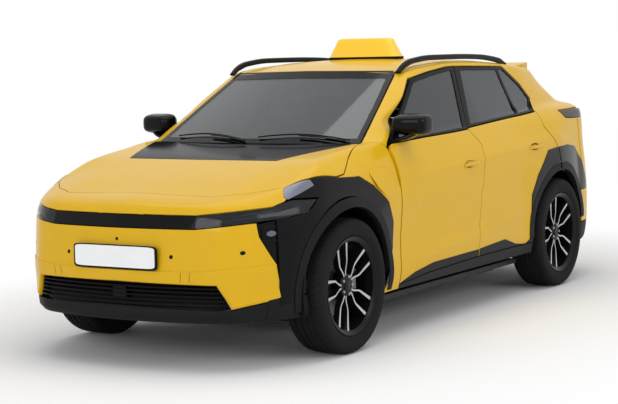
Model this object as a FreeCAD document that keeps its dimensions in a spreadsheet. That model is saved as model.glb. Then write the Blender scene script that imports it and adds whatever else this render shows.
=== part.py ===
"""A mid-size electric crossover taxi, built as separate panels, glass, cabin pieces, suspension and wheels.

Frame, in millimetres: +X to the car's left, +Y to its rear, +Z up. The origin lies on the ground, midway
between the axles and midway between the two ends.
"""
import FreeCAD, Part
import math
import os
import Sketcher

doc = FreeCAD.newDocument("taxi_cab")
V = FreeCAD.Vector

# ------------------------------------------------------------------ driving sizes
SIZES = [
    # alias, value, what it is
    ("wheelbase", 2850, "distance between the axles"),
    ("track_width", 1600, "distance between the middles of the left and right tyres"),
    ("body_length", 4690, "bumper to bumper"),
    ("flare_width", 1860, "over the wheel arches"),
    ("roof_height", 1592, "top of the roof skin"),
    ("tyre_diameter", 743, "outside of the tread"),
    ("tyre_width", 235, "over the sidewalls"),
    ("rim_diameter", 543, "over the rim flange"),
    ("rim_width", 216, "over the rim flanges"),
    ("disc_diameter", 330, "brake disc"),
    ("hub_radius", 68, "wheel hub face"),
    ("arch_radius", 430, "wheel arch opening"),
    ("lip_width", 56, "textured band round the front arch"),
    ("kingpin_offset", 730, "steering axis to the middle of the car"),
    ("skin_depth", 25, "outer layer of a door"),
    ("door_depth", 110, "whole door, and the body wall beside it"),
    ("panel_depth", 40, "bumpers, fenders and bonnet"),
    ("frame_depth", 24, "window frame of a door"),
    ("rail_depth", 45, "roof, pillars and cant rails"),
    ("shut_gap", 6, "gap round the doors, bonnet and tailgate"),
    ("frame_gap", 12, "gap round the doors above the shoulder"),
    ("flap_gap", 7, "gap round the charge flap"),
    ("glass_depth", 5, "thickness of each pane"),
    ("glass_inset", 6, "pane below the outer surface"),
    ("floor_height", 200, "underside of the floor pan"),
    ("floor_depth", 30, "thickness of the floor pan"),
    ("battery_length", 1900, "traction battery"),
    ("battery_width", 1240, "traction battery"),
    ("battery_height", 48, "part of the battery below the floor pan"),
    ("seat_width", 520, "front seat"),
    ("seat_pitch", 740, "between the middles of the front seats"),
    ("seat_height", 330, "top of the front seat's base above the floor"),
    ("sign_length", 522, "roof sign at its base"),
    ("sign_top", 394, "roof sign at its top"),
    ("sign_height", 122, "roof sign above its base"),
    ("sign_depth", 150, "roof sign, front to back"),
    ("plate_length", 540, "number plate"),
    ("plate_height", 124, "number plate"),
    ("plate_depth", 10, "number plate with its holder"),
    ("mirror_reach", 1010, "tip of the door mirror from the middle of the car"),
]
sheet = doc.addObject("Spreadsheet::Sheet", "Sizes")
for row, (alias, value, meaning) in enumerate(SIZES, start=2):
    sheet.set("A%d" % row, alias)
    sheet.set("B%d" % row, str(value))
    sheet.setAlias("B%d" % row, alias)
    sheet.set("C%d" % row, meaning)
doc.recompute()


def size(alias):
    """The number in the sheet under this alias."""
    return float(sheet.get(alias))


AXLE = size("wheelbase") / 2
HUB = size("tyre_diameter") / 2
END = size("body_length") / 2
FLARE = size("flare_width") / 2
ROOF = size("roof_height")
ARCH = size("arch_radius")
GAP = size("shut_gap")
FRAME_GAP = size("frame_gap")
FAR = 3000.0
KINGPIN = size("kingpin_offset")
MIRROR_TIP = size("mirror_reach")

# ------------------------------------------------------------------ helpers
def part(label, shape):
    """A sub-part whose shape comes from Part's own functions."""
    feature = doc.addObject("Part::Feature", label)
    feature.Label = label
    placed = shape.Placement
    feature.Shape = shape
    feature.Placement = placed
    return feature


def bind(item, **expressions):
    """Bind an object's properties to the sheet. Double underscores stand for dots."""
    for name, expression in expressions.items():
        item.setExpression(name.replace("__", "."), str(expression))
    return item


def box(label, length, width, height, x, y, z):
    """A box with its middle at x, y and its underside at z, all given as expressions."""
    item = doc.addObject("Part::Box", label)
    item.Label = label
    bind(item, Length=length, Width=width, Height=height)
    bind(item, Placement__Base__x="%s - (%s) / 2" % (x, length), Placement__Base__y="%s - (%s) / 2" % (y, width))
    bind(item, Placement__Base__z=z)
    return item


def group(label, items):
    """One sub-part out of several document objects."""
    item = doc.addObject("Part::MultiFuse", label)
    item.Label = label
    item.Shapes = items
    return item


def polygon(points):
    return Part.Wire(Part.makePolygon([V(*p) for p in points] + [V(*points[0])]))


def side_face(points, grow=0.0):
    """Face in the side view, from (y, z) points, grown by an offset."""
    face = Part.Face(polygon([(0, y, z) for y, z in points]))
    if grow:
        face = face.makeOffset2D(grow, join=2)
    return face


def side_prism(points, inner=300.0, outer=1200.0, grow=0.0):
    """Block whose outline is drawn in the side view, on the left of the car."""
    face = side_face(points, grow)
    face.translate(V(inner, 0, 0))
    return face.extrude(V(outer - inner, 0, 0))


def front_prism(points, front, rear, grow=0.0):
    """Block whose outline is drawn from the front, as (x, z) points."""
    face = Part.Face(polygon([(x, 0, z) for x, z in points]))
    if grow:
        face = face.makeOffset2D(grow, join=2)
    face.translate(V(0, front, 0))
    return face.extrude(V(0, rear - front, 0))


def plan_prism(points, low, high, grow=0.0):
    """Block whose outline is drawn from above, as (x, y) points."""
    face = Part.Face(polygon([(x, y, 0) for x, y in points]))
    if grow:
        face = face.makeOffset2D(grow, join=2)
    face.translate(V(0, 0, low))
    return face.extrude(V(0, 0, high - low))


def mirrored(shape):
    return shape.mirror(V(0, 0, 0), V(1, 0, 0))


def both(shape):
    """The left shape and its mirror image on the right, as solids that don't touch."""
    return Part.makeCompound(shape.Solids + mirrored(shape).Solids)


def both_ways(points):
    """Half outline in (x, other) points, from x = 0 outwards, closed by its mirror image."""
    return points + [(-x, other) for x, other in reversed(points) if x > 0]


def solids_of(shape, least=2000.0):
    """The shape's solids, without slivers."""
    kept = [solid for solid in shape.Solids if solid.Volume > least]
    return kept[0] if len(kept) == 1 else Part.makeCompound(kept)


def block(x0, x1, y0, y1, z0, z1):
    return Part.makeBox(x1 - x0, y1 - y0, z1 - z0, V(x0, y0, z0))


def arc(first, middle, last):
    return Part.Arc(V(*first), V(*middle), V(*last)).toShape()


# ------------------------------------------------------------------ outer form
# Plan outlines of the lower body, left half, from the nose round to the tail. Lengths are from the front
# bumper for the nose and from the rear bumper for the tail, so that both follow the body's length.
LOWER_COLUMNS = ("level", "nose_back", "nose_x", "nose_end_back", "corner_x", "corner_y", "corner_bulge",
                 "front_wheel_x", "door_front_x", "door_rear_x", "rear_wheel_x",
                 "quarter_x", "quarter_y", "tail_x", "tail_end_fore", "tail_bulge", "tail_fore")
LOWER = [
    (200, 130, 520, 215, 800, -1850, 45, 860, 835, 835, 860, 810, 1800, 560, 200, 70, 160),
    (290, 0, 565, 78, 852, -1830, 55, 905, 872, 872, 905, 868, 1800, 600, 60, 90, 30),
    (400, 22, 576, 92, 866, -1810, 57, 922, 890, 890, 922, 880, 1800, 600, 23, 93, 1),
    (530, 12, 580, 84, 872, -1800, 58, 930, 886, 884, 930, 885, 1800, 600, 20, 93, 0),
    (660, 26, 580, 94, 872, -1800, 57, 930, 894, 890, 930, 885, 1800, 600, 35, 93, 15),
    (800, 44, 580, 108, 866, -1790, 57, 926, 903, 902, 928, 880, 1800, 610, 75, 90, 55),
    (950, 90, 560, 200, 848, -1620, 50, 868, 893, 896, 908, 862, 1820, 620, 100, 80, 77),
    (1130, 700, 470, 720, 690, -1560, 30, 704, 832, 826, 862, 845, 1880, 640, 120, 60, 85),
    (1200, 800, 460, 820, 640, -1540, 30, 655, 785, 782, 812, 820, 1930, 650, 145, 48, 95),
    (1236, 900, 440, 920, 600, -1520, 30, 610, 730, 735, 765, 772, 1930, 600, 200, 42, 155),
]
# Plan outlines of the glasshouse, left half, from the windscreen round to the rear window.
UPPER_COLUMNS = ("level", "screen_y", "screen_x", "screen_end_y", "pillar_x", "pillar_y", "middle_x",
                 "quarter_x", "quarter_y", "corner_x", "corner_y", "tail_x", "tail_end_y", "tail_y")
UPPER = [
    (1080, -1148, 725, -1040, 842, -890, 842, 812, 1300, 770, 1900, 600, 2120, 2160),
    (1230, -888, 672, -785, 779, -680, 779, 747, 1300, 700, 1850, 560, 2090, 2130),
    (1400, -593, 613, -496, 710, -400, 710, 682, 1250, 640, 1640, 500, 1850, 1898),
    (1530, -368, 568, -275, 654, -180, 655, 640, 1150, 600, 1500, 470, 1690, 1720),
    (1640, -178, 530, -90, 606, -20, 606, 600, 1000, 560, 1300, 430, 1520, 1560),
]
# Bonnet and deck: how high the body reaches, in (y, z) points, at three distances from the middle.
BONNET = [
    # x, then the bonnet's profile from the light bar back to the windscreen
    (0, [(-2420, 560), (-2301, 820), (-2275, 868), (-2200, 900), (-2112, 916), (-1850, 985), (-1537, 1056),
         (-1000, 1126)]),
    (500, [(-2370, 560), (-2250, 816), (-2225, 862), (-2160, 890), (-2100, 905), (-1850, 980), (-1537, 1058),
           (-1000, 1126)]),
    (770, [(-2260, 560), (-2075, 838), (-2050, 866), (-1990, 895), (-1920, 922), (-1800, 965), (-1537, 1062),
           (-1000, 1122)]),
    (1000, [(-2200, 560), (-1900, 838), (-1880, 866), (-1850, 895), (-1820, 922), (-1760, 965), (-1537, 1062),
            (-1000, 1122)]),
]
# Roof crown: y, height of the middle below the roof's top.
ROOF_LINE = [(-700, 150), (-380, 67), (-100, 24), (300, 0), (700, 3), (1200, 30), (1700, 74), (2100, 130)]
ROOF_DROP = 24.0
ROOF_SPAN = 650.0
DECK = 1236.0


def inset_points(points, depth, front_pole, rear_pole):
    """Move a half outline inwards by a depth, each point along its own normal."""
    moved = []
    chain = [(-points[0][0], points[0][1])] + points + [(-points[-1][0], points[-1][1])]
    for before, here, after in zip(chain, chain[1:], chain[2:]):
        along = V(after[0] - before[0], after[1] - before[1], 0).normalize()
        moved.append((here[0] - along.y * depth, here[1] + along.x * depth))
    return moved, front_pole + depth, rear_pole - depth


def outline(points, bulges, front_pole, rear_pole, level):
    """Closed plan outline: an arc across the nose, the left side, an arc across the tail, the right side."""
    left = []
    for start, end, bulge in zip(points, points[1:], bulges):
        if bulge:
            along = V(end[0] - start[0], end[1] - start[1], 0)
            out = V(along.y, -along.x, 0).normalize()
            middle = (start[0] + end[0]) / 2 + out.x * bulge, (start[1] + end[1]) / 2 + out.y * bulge
            left.append(arc((start[0], start[1], level), (middle[0], middle[1], level), (end[0], end[1], level)))
        else:
            left.append(Part.LineSegment(V(start[0], start[1], level), V(end[0], end[1], level)).toShape())
    right = [edge.mirror(V(0, 0, 0), V(1, 0, 0)) for edge in reversed(left)]
    nose = points[0]
    tail = points[-1]
    rear = arc((tail[0], tail[1], level), (0, rear_pole, level), (-tail[0], tail[1], level))
    front = arc((-nose[0], nose[1], level), (0, front_pole, level), (nose[0], nose[1], level))
    return Part.Wire(left + [rear] + right + [front])


def stack(wires):
    """Solid through closed outlines, ruled from each to the next."""
    return Part.makeLoft(wires, True, True)


def lower_stack(depth):
    """Lower body without its bonnet line, moved in by a depth."""
    wires = []
    for index, values in enumerate(LOWER):
        row = dict(zip(LOWER_COLUMNS, values))
        widen = FLARE - 930.0
        points = [
            (row["nose_x"], -END + row["nose_end_back"]),
            (row["corner_x"] + widen, row["corner_y"] + 2345 - END),
            (row["front_wheel_x"] + widen, -AXLE),
            (row["door_front_x"] + widen, -AXLE + 575),
            (row["door_rear_x"] + widen, AXLE - 575),
            (row["rear_wheel_x"] + widen, AXLE),
            (row["quarter_x"] + widen, row["quarter_y"]),
            (row["tail_x"], END - row["tail_end_fore"]),
        ]
        bulges = [row["corner_bulge"], 12, 0, 0, 0, 8, row["tail_bulge"]]
        points, front, rear = inset_points(points, depth, -END + row["nose_back"], END - row["tail_fore"])
        level = row["level"]
        if depth and index == 0:
            level -= 60
        if depth and index == len(LOWER) - 1:
            level += 60
        wires.append(outline(points, bulges, front, rear, level))
    return stack(wires)


def under_bonnet(depth):
    """Everything below the bonnet and the deck, lowered by a depth."""
    halves = []
    for x, profile in BONNET:
        line = [(y, z - depth) for y, z in profile]
        line = [(line[0][0], 0.0)] + line + [(-900.0, DECK - depth), (FAR, DECK - depth), (FAR, 0.0)]
        halves.append(polygon([(x, y, z) for y, z in line]))
    left = Part.makeLoft(halves, True, True)
    return left.fuse(mirrored(left)).removeSplitter()


def upper_stack(depth):
    """Glasshouse below the roof crown, moved in by a depth."""
    wires = []
    for index, values in enumerate(UPPER):
        row = dict(zip(UPPER_COLUMNS, values))
        points = [
            (row["screen_x"], row["screen_end_y"]),
            (row["pillar_x"], row["pillar_y"]),
            (row["middle_x"], 400.0),
            (row["quarter_x"], row["quarter_y"]),
            (row["corner_x"], row["corner_y"]),
            (row["tail_x"], row["tail_end_y"]),
        ]
        bulges = [14, 0, 0, 8, 30]
        points, front, rear = inset_points(points, depth, row["screen_y"], row["tail_y"])
        level = row["level"]
        if depth and index == 0:
            level -= 40
        wires.append(outline(points, bulges, front, rear, level))
    body = stack(wires)
    crowns = []
    for y, drop in ROOF_LINE:
        top = ROOF - drop - depth
        low = top - ROOF_DROP
        edges = [arc((-ROOF_SPAN, y, low), (0, y, top), (ROOF_SPAN, y, low))]
        corners = [(ROOF_SPAN, y, low), (1100, y, low - 20), (1100, y, 900), (-1100, y, 900), (-1100, y, low - 20),
                   (-ROOF_SPAN, y, low)]
        edges += [Part.LineSegment(V(*a), V(*b)).toShape() for a, b in zip(corners, corners[1:])]
        crowns.append(Part.Wire(edges))
    crown = Part.makeLoft(crowns, True, True)
    cap = block(-1100, 1100, -1500, ROOF_LINE[0][0], 900, ROOF - 100)
    rest = block(-1100, 1100, ROOF_LINE[-1][0], FAR, 900, ROOF - 130)
    return body.common(crown.fuse([cap, rest]))


def lower_form(depth, drop):
    return lower_stack(depth).common(under_bonnet(drop))


SKIN = size("skin_depth")
PANEL = size("panel_depth")
RAIL = size("rail_depth")
FRAME = size("frame_depth")
DOOR = size("door_depth")


def layer(lower_depth, upper_depth):
    """Whole body form moved in by one depth below the belt and another above it."""
    return lower_form(lower_depth, lower_depth).fuse(upper_stack(upper_depth))


outer = layer(0.0, 0.0)
skin_back = layer(SKIN, FRAME)
rebate = layer(SKIN + GAP, RAIL)
panel_back = layer(PANEL, PANEL)
cabin_side = layer(DOOR, RAIL)
panel_shell = outer.cut(panel_back)
door_skin = outer.cut(skin_back)
door_core = lower_form(SKIN, SKIN).cut(lower_form(DOOR, DOOR))
wall_shell = outer.cut(cabin_side)
glass_outer = upper_stack(size("glass_inset"))
glass_shell = glass_outer.cut(upper_stack(size("glass_inset") + size("glass_depth")))

# ------------------------------------------------------------------ outlines on the body
BELT = 1085.0
SILL_LOW = 275.0
SCREEN_LOW = 1118.0
SHOULDER = 1060.0
CORE_TOP = 1118.0
CORE_GAP = 16.0
SEAM = 0.4
BUMPER_REAR = -2005.0
SHUT_LINE = [(326, 1532), (188, 1150), (190, 1135), (277, 1043), (262, 974), (220, 670), (175, 347)]
FRONT_DOOR = [(-842, 1112), (-300, 1470), (-60, 1502), (220, 1530)] + SHUT_LINE + [
    (-500, 328), (-837, 302), (-835, 765), (-866, 1077)]
REAR_DOOR = [(1062, 1519), (1265, 1396), (1358, 1297), (1277, 1209), (1262, 1110), (1377, 988), (1404, 940),
             (1404, 371), (996, 371), (996, 347)] + list(reversed(SHUT_LINE))
FRONT_GLASS = [(-740, 1132), (-290, 1448), (220, 1506), (262, 1506), (132, 1156)]
REAR_GLASS = [(398, 1504), (1052, 1495), (1236, 1382), (1318, 1294), (1250, 1222), (1010, 1196), (262, 1162)]
CLADDING_EDGE = [(-1481, 962), (-1266, 960), (-1134, 894), (-1006, 793), (-943, 676), (-944, 528), (-995, 398),
                 (-1045, 293)]
LAMP_TOP_FRONT = [(460, 818), (775, 850), (792, 876)]
BONNET_PLAN = [(0, -2118), (250, -2116), (492, -2106), (640, -2010), (760, -1872), (812, -1700), (852, -1481),
               (852, -1470), (800, -1260), (752, -1100), (724, -1012), (560, -1052), (300, -1090), (0, -1104)]
FLAP = [(-1152, 962), (-1126, 988), (-972, 980), (-912, 902), (-909, 784), (-985, 806), (-1102, 886)]
TAILGATE = [(572, 1700), (572, 700), (536, 640)]
TAILGATE_FRONT = 1470.0


def wheel_arch(radius, y):
    """Cylinder across the car through a pair of wheel arches, hollow between them."""
    bar = Part.makeCylinder(radius, 3000, V(-1500, y, HUB), V(1, 0, 0))
    return bar.cut(block(-500, 500, y - 1000, y + 1000, -500, 2000))


front_arch = wheel_arch(ARCH, -AXLE)
rear_arch = wheel_arch(ARCH, AXLE)
arches = front_arch.fuse(rear_arch)

# ------------------------------------------------------------------ doors
above_shoulder = side_prism([(-1200, SHOULDER), (1700, SHOULDER), (1700, 1800), (-1200, 1800)])
pillar_band = side_prism([(y - 62, z) for y, z in SHUT_LINE] + [(y + 62, z) for y, z in reversed(SHUT_LINE)])


def door_solid(outline_points, glass_points, core_inset, seam):
    """Skin of a door with its window cut, on a thicker core; its window frame is a second pressing on a seam."""
    skin = door_skin.common(side_prism(outline_points, grow=-GAP / 2)).cut(above_shoulder)
    frame = door_skin.common(side_prism(outline_points, grow=-FRAME_GAP / 2)).common(above_shoulder)
    core = door_core.common(side_prism(outline_points, grow=-core_inset))
    core = core.cut(pillar_band)
    core = core.cut(side_prism([(-1200, CORE_TOP), (1700, CORE_TOP), (1700, 1800), (-1200, 1800)]))
    core = core.cut(wheel_arch(ARCH + 45, AXLE))
    solid = skin.fuse(frame).cut(rear_arch).fuse(core)
    solid = solid.cut(side_prism(glass_points))
    return solid.cut(block(300, 1200, -FAR, FAR, seam - SEAM / 2, seam + SEAM / 2))


def door_opening(outline_points):
    """What the body leaves free for a door: wide in the door's skin, narrower behind it."""
    wide = side_prism(outline_points, grow=GAP / 2)
    wide = wide.fuse(side_prism(outline_points, grow=FRAME_GAP / 2).common(above_shoulder))
    wide = wide.cut(rebate)
    return wide.fuse(side_prism(outline_points, grow=-CORE_GAP))


def handle(y, z):
    """Grip of a door, standing off the skin on two feet."""
    bar = block(860, 908, y - 98, y + 98, z - 13, z + 13)
    return bar.cut(block(800, 900, y - 74, y + 74, z - 20, z + 20)).cut(skin_back)


front_door = solids_of(door_solid(FRONT_DOOR, FRONT_GLASS, 26.0, 1142.0).fuse(handle(62, 935)))
rear_door = solids_of(door_solid(REAR_DOOR, REAR_GLASS, 31.0, 1046.0).fuse(handle(1049, 984)))
front_glass = solids_of(glass_shell.common(side_prism(FRONT_GLASS)))
rear_glass = solids_of(glass_shell.common(side_prism(REAR_GLASS)))
for side, turn in (("left", lambda shape: shape), ("right", mirrored)):
    part("door_front_" + side, turn(front_door))
    part("door_rear_" + side, turn(rear_door))
    part("glass_front_" + side, turn(front_glass))
    part("glass_rear_" + side, turn(rear_glass))

# ------------------------------------------------------------------ body side, roof, bonnet, tailgate
tailgate_zone = front_prism(both_ways(TAILGATE), TAILGATE_FRONT, FAR)
tailgate_free = front_prism(both_ways(TAILGATE), TAILGATE_FRONT - GAP, FAR, grow=8.0)
bumper_top = 634.0
rear_bumper_zone = block(-FAR, FAR, 1905, FAR, 0, bumper_top)
lamp_zone_side = [(1600, 1204), (1648, 1150), (2400, 1120), (2400, 1216)]
rear_lamp_zone = side_prism(lamp_zone_side, inner=540.0)
roof_zone = block(-596, 596, -700, TAILGATE_FRONT - GAP, 1440, 1800)
SCREEN = [(709, SCREEN_LOW), (576, 1506), (566, 1532)]
screen_zone = front_prism(both_ways(SCREEN), -1400, -312)
body_zone = side_prism([(-1012, 1112), (-874, BELT), (-872, 1077), (-841, 765), (-843, SILL_LOW), (996, SILL_LOW),
                        (996, 371), (996, 800), (2600, 800), (2600, 1800), (-1012, 1800)], inner=0.0)
quarter_zone = side_prism([(996, 340), (1905, 340), (1905, bumper_top), (2600, bumper_top), (2600, 1800), (996, 1800)],
                          inner=0.0)
sill_zone = side_prism([(-843, SILL_LOW), (996, SILL_LOW), (996, 344), (175, 344), (-500, 325), (-843, 299)])
sill_skin = sill_zone.cut(rebate)
body_side = wall_shell.common(body_zone.fuse(quarter_zone)).cut(sill_skin)
for tool in (door_opening(FRONT_DOOR), door_opening(REAR_DOOR), tailgate_free, rear_lamp_zone, roof_zone,
             screen_zone, arches, rear_bumper_zone):
    body_side = body_side.cut(tool)
body_side = body_side.cut(block(-FAR, 0, -FAR, FAR, -FAR, FAR))

bonnet_free = plan_prism(both_ways(BONNET_PLAN), 820, 1300, grow=GAP)
body_side = solids_of(body_side.cut(bonnet_free), 2e5)
part("body_side_left", body_side)
part("body_side_right", mirrored(body_side))
part("sill_trims", both(solids_of(outer.common(sill_skin).cut(door_opening(FRONT_DOOR)).cut(door_opening(REAR_DOOR)))))
part("roof_panel", solids_of(wall_shell.common(roof_zone).cut(screen_zone)))
part("windscreen", solids_of(glass_shell.common(screen_zone)))

bonnet_zone = plan_prism(both_ways(BONNET_PLAN), 820, 1300)
SLOT = [(470, -2100), (492, -2134), (768, -1896), (832, -1700), (800, -1700), (735, -1850)]
slot = plan_prism(SLOT, 820, 1300)
bonnet_free = bonnet_free.fuse([slot, mirrored(slot)])
film_back = layer(6.0, 6.0)
STRIP = [(0, -1537), (505, -1537), (706, -1040), (706, -900), (0, -900)]
strip_zone = plan_prism(both_ways(STRIP), 820, 1300).cut(film_back)
inner_zone = plan_prism(both_ways(BONNET_PLAN), 820, 1300, grow=-12.0)
bonnet_shell = panel_shell.common(bonnet_zone).cut(film_back.cut(inner_zone))
part("bonnet", solids_of(bonnet_shell.cut(strip_zone)))
part("bonnet_strip", solids_of(bonnet_shell.common(strip_zone)))

REAR_WINDOW = [(478, 1470), (532, 1248)]
window_zone = front_prism(both_ways(REAR_WINDOW), TAILGATE_FRONT, FAR)
LAMP_STRIP = [(700, 1196), (700, 1132)]
strip_lamp_zone = front_prism(both_ways(LAMP_STRIP), 1900, FAR).cut(skin_back)
tailgate_shell = panel_shell.common(tailgate_zone)
EARS = [(0, 1476), (560, 1476), (572, 1560), (556, 1690), (505, 1795), (448, 1788), (380, 1712), (290, 1672), (0, 1664)]
EAR_SIDE = [(1476, 1537), (1640, 1541), (1800, 1536), (1800, 1516), (1690, 1478), (1560, 1478), (1476, 1520)]
spoiler = plan_prism(both_ways(EARS), 1400, 1700).common(side_prism(EAR_SIDE, inner=-700.0, outer=700.0))
tailgate = tailgate_shell.cut(window_zone).cut(strip_lamp_zone)
part("tailgate", solids_of(tailgate.fuse(spoiler)))
part("tailgate_lamp", solids_of(tailgate_shell.common(strip_lamp_zone)))
part("tailgate_glass", solids_of(glass_shell.common(window_zone)))
part("tail_lamps", both(solids_of(panel_shell.common(rear_lamp_zone).cut(tailgate_free))))

# ------------------------------------------------------------------ front end
def front_view(points, rear=BUMPER_REAR):
    return front_prism(points, -FAR, rear)


CLADDING_TOP = [(-2005, 789), (-1700, 940)]
cladding_zone = side_prism(CLADDING_TOP + CLADDING_EDGE + [(-1045, 250), (-2005, 250)], inner=560.0)
lip_ring = wheel_arch(ARCH + size("lip_width"), -AXLE)
fender_zone = side_prism(CLADDING_EDGE + [(-1045, SILL_LOW), (-843, SILL_LOW), (-841, 765), (-872, 1077), (-874, BELT),
                                          (-1012, 1112), (-1200, 1200), (-1700, 1200)], inner=560.0)
flap_zone = side_prism(FLAP)
flap_free = side_prism(FLAP, grow=size("flap_gap")).cut(skin_back)
wing = panel_shell.cut(bonnet_free).cut(front_arch)
fender = solids_of(wing.common(fender_zone).cut(flap_free).cut(sill_zone))
part("fenders", both(fender))
part("claddings", both(solids_of(wing.common(cladding_zone).cut(lip_ring))))
part("arch_lips", both(solids_of(wing.common(cladding_zone).common(lip_ring))))
part("charge_flap", solids_of(outer.cut(film_back).common(flap_zone)))

face_shell = panel_shell.cut(bonnet_free)
NOSE = [(0, 818)] + LAMP_TOP_FRONT + [(792, 1000), (0, 1000)]
nose = face_shell.common(front_view(both_ways(NOSE), -1780))
part("nose_panel", solids_of(nose.cut(cladding_zone).cut(mirrored(cladding_zone))))
BAR = [(0, 818), (460, 818), (464, 750), (0, 750)]
part("light_bar", solids_of(face_shell.common(front_view(both_ways(BAR)))))
LAMP_CREST = 948.0
HEADLAMP = LAMP_TOP_FRONT + [(792, LAMP_CREST), (980, LAMP_CREST), (980, 807), (815, 789), (464, 750)]
lamp = solids_of(face_shell.common(front_view(HEADLAMP, -1730)).cut(cladding_zone))
GRILLE = [(0, 465), (580, 458), (643, 333), (0, 347)]
RECESS = [(739, 764), (748, 705), (803, 556), (815, 372), (1000, 372), (1000, 803), (815, 789)]
SKIRT_TOP = [(0, 347), (643, 333), (815, 372), (1000, 392)]
grille_zone = front_view(both_ways(GRILLE))
recess_zone = front_view(RECESS)
recess_zone = recess_zone.fuse(mirrored(recess_zone))
skirt_zone = front_prism(both_ways(SKIRT_TOP + [(1000, 150), (0, 150)]), -FAR, -AXLE)
BUMPER = [(0, 750), (464, 750), (815, 789), (1000, 803), (1000, 150), (0, 150)]
bumper = face_shell.common(front_view(both_ways(BUMPER)))
part("front_bumper", solids_of(bumper.cut(grille_zone).cut(recess_zone).cut(skirt_zone)))
front_skirt = solids_of(panel_shell.common(front_view(both_ways(SKIRT_TOP + [(1000, 150), (0, 150)]))))
corner_lamp = solids_of(bumper.common(front_view(RECESS)).cut(skirt_zone))
front_lamps = [lamp, corner_lamp]
part("headlamps", Part.makeCompound(front_lamps + [mirrored(shape) for shape in front_lamps]))
SLATS = (366, 388, 410, 432)
slats = [block(-700, 700, -FAR, -2000, z, z + 9) for z in SLATS]
slat_front = lower_stack(8.0).cut(panel_back)
grille = skin_back.cut(panel_back).fuse(slat_front.common(slats[0].multiFuse(slats[1:]))).common(grille_zone)
part("lower_grille", solids_of(grille))

rear_low = panel_shell.common(rear_bumper_zone).cut(rear_arch)
part("rear_bumper", solids_of(rear_low.common(block(-FAR, FAR, 1905, FAR, 400, bumper_top))))
rear_skirt = solids_of(rear_low.common(block(-FAR, FAR, 1905, FAR, 0, 400)))
part("lower_skirts", Part.makeCompound([front_skirt, rear_skirt]))

# ------------------------------------------------------------------ roof rails, sign, plates, mirrors
RAIL_PATH = [(-335, 1499), (-260, 1535), (112, 1580), (700, 1578), (1100, 1552), (1215, 1530)]
RAIL_TOP = [(1180, 1556), (1080, 1576), (700, 1606), (112, 1608), (-200, 1578), (-300, 1536)]
rails = side_prism(RAIL_PATH + RAIL_TOP, inner=590.0, outer=622.0).cut(outer)
part("roof_rails", both(solids_of(rails)))

SIGN_FRONT = 283.0
sign_rear = SIGN_FRONT + size("sign_depth")
sign_foot = ROOF + 11.0
half_base = size("sign_length") / 2
half_top = size("sign_top") / 2
sign_end = sign_foot + size("sign_height")
foot = plan_prism([(-half_base, SIGN_FRONT), (half_base, SIGN_FRONT), (half_base, sign_rear), (-half_base, sign_rear)],
                  ROOF - 40, sign_foot)
part("sign_base", solids_of(foot.cut(outer)))
lower = polygon([(-half_base + 6, SIGN_FRONT + 4, sign_foot), (half_base - 6, SIGN_FRONT + 4, sign_foot),
                 (half_base - 6, sign_rear - 4, sign_foot), (-half_base + 6, sign_rear - 4, sign_foot)])
upper = polygon([(-half_top, SIGN_FRONT + 40, sign_end), (half_top, SIGN_FRONT + 40, sign_end),
                 (half_top, sign_rear - 40, sign_end), (-half_top, sign_rear - 40, sign_end)])
part("taxi_sign", Part.makeLoft([lower, upper], True, True))

box("front_plate", "Sizes.plate_length", "Sizes.plate_depth", "Sizes.plate_height",
    "0", "-Sizes.body_length / 2 + 6.5", "533")
box("rear_plate", "Sizes.plate_length", "Sizes.plate_depth", "Sizes.plate_height",
    "0", "Sizes.body_length / 2 - 38.3", "760")

MIRROR_PLAN = [(868, -812), (960, -800), (MIRROR_TIP, -720), (MIRROR_TIP, -640), (960, -600), (868, -590)]
mirror_head = plan_prism(MIRROR_PLAN, 1146, 1283)
mirror_arm = plan_prism([(780, -735), (880, -745), (880, -640), (780, -665)], 1106, 1150)
mirror = mirror_head.fuse(mirror_arm).cut(outer)
part("mirror_left", solids_of(mirror))
part("mirror_right", mirrored(solids_of(mirror)))

# ------------------------------------------------------------------ floor, battery, drive units
box("floor_front", "1520", "1915", "Sizes.floor_depth", "0", "52.5", "Sizes.floor_height")
box("seat_bulkhead", "1100", "25", "400", "0", "997.5", "Sizes.floor_height + Sizes.floor_depth")
box("boot_floor", "1111.4", "1195", "20", "0", "1607.5", "620")
box("bulkhead", "1380", "20", "830", "0", "-895", "Sizes.floor_height + Sizes.floor_depth")
box("crash_beam", "940", "40", "80", "0", "-2205", "430")
FLOOR_PARTS = ["floor_front", "seat_bulkhead", "boot_floor", "bulkhead", "crash_beam"]
# Members on each side: label, length, width, height, distance from the middle of the car, y, underside.
MEMBERS = [
    ("front_rail", "50", "1320", "80", "410", "-1565", "430"),
    ("front_tie", "145", "40", "80", "362.5", "-Sizes.wheelbase / 2 - 120", "430"),
    ("front_post", "38", "40", "313.7", "309", "-Sizes.wheelbase / 2 - 120", "196.3"),
    ("rear_rail", "50", "1170", "80", "425", "1595", "540"),
    ("rear_tie", "150", "60", "80", "375", "Sizes.wheelbase / 2", "540"),
    ("rear_post", "60", "60", "397.7", "330", "Sizes.wheelbase / 2", "222.3"),
]
for name, length, width, height, offset, along, under in MEMBERS:
    for side, sign in (("left", ""), ("right", "-")):
        box(name + "_" + side, length, width, height, sign + offset, along, under)
        FLOOR_PARTS.append(name + "_" + side)
group("floor_pan", [doc.getObject(name) for name in FLOOR_PARTS])
box("battery_pack", "Sizes.battery_width", "Sizes.battery_length", "Sizes.battery_height", "0", "0",
    "Sizes.floor_height - Sizes.battery_height")
box("front_motor", "480", "250", "330", "0", "-Sizes.wheelbase / 2", "196.3")
box("rear_motor", "400", "380", "300", "0", "Sizes.wheelbase / 2", "222.3")
group("drive_units", [doc.getObject(name) for name in ("front_motor", "rear_motor")])
COWL = [(0, -1096), (300, -1082), (560, -1044), (716, -1003), (716, -935), (560, -965), (300, -1040), (0, -1055)]
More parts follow.
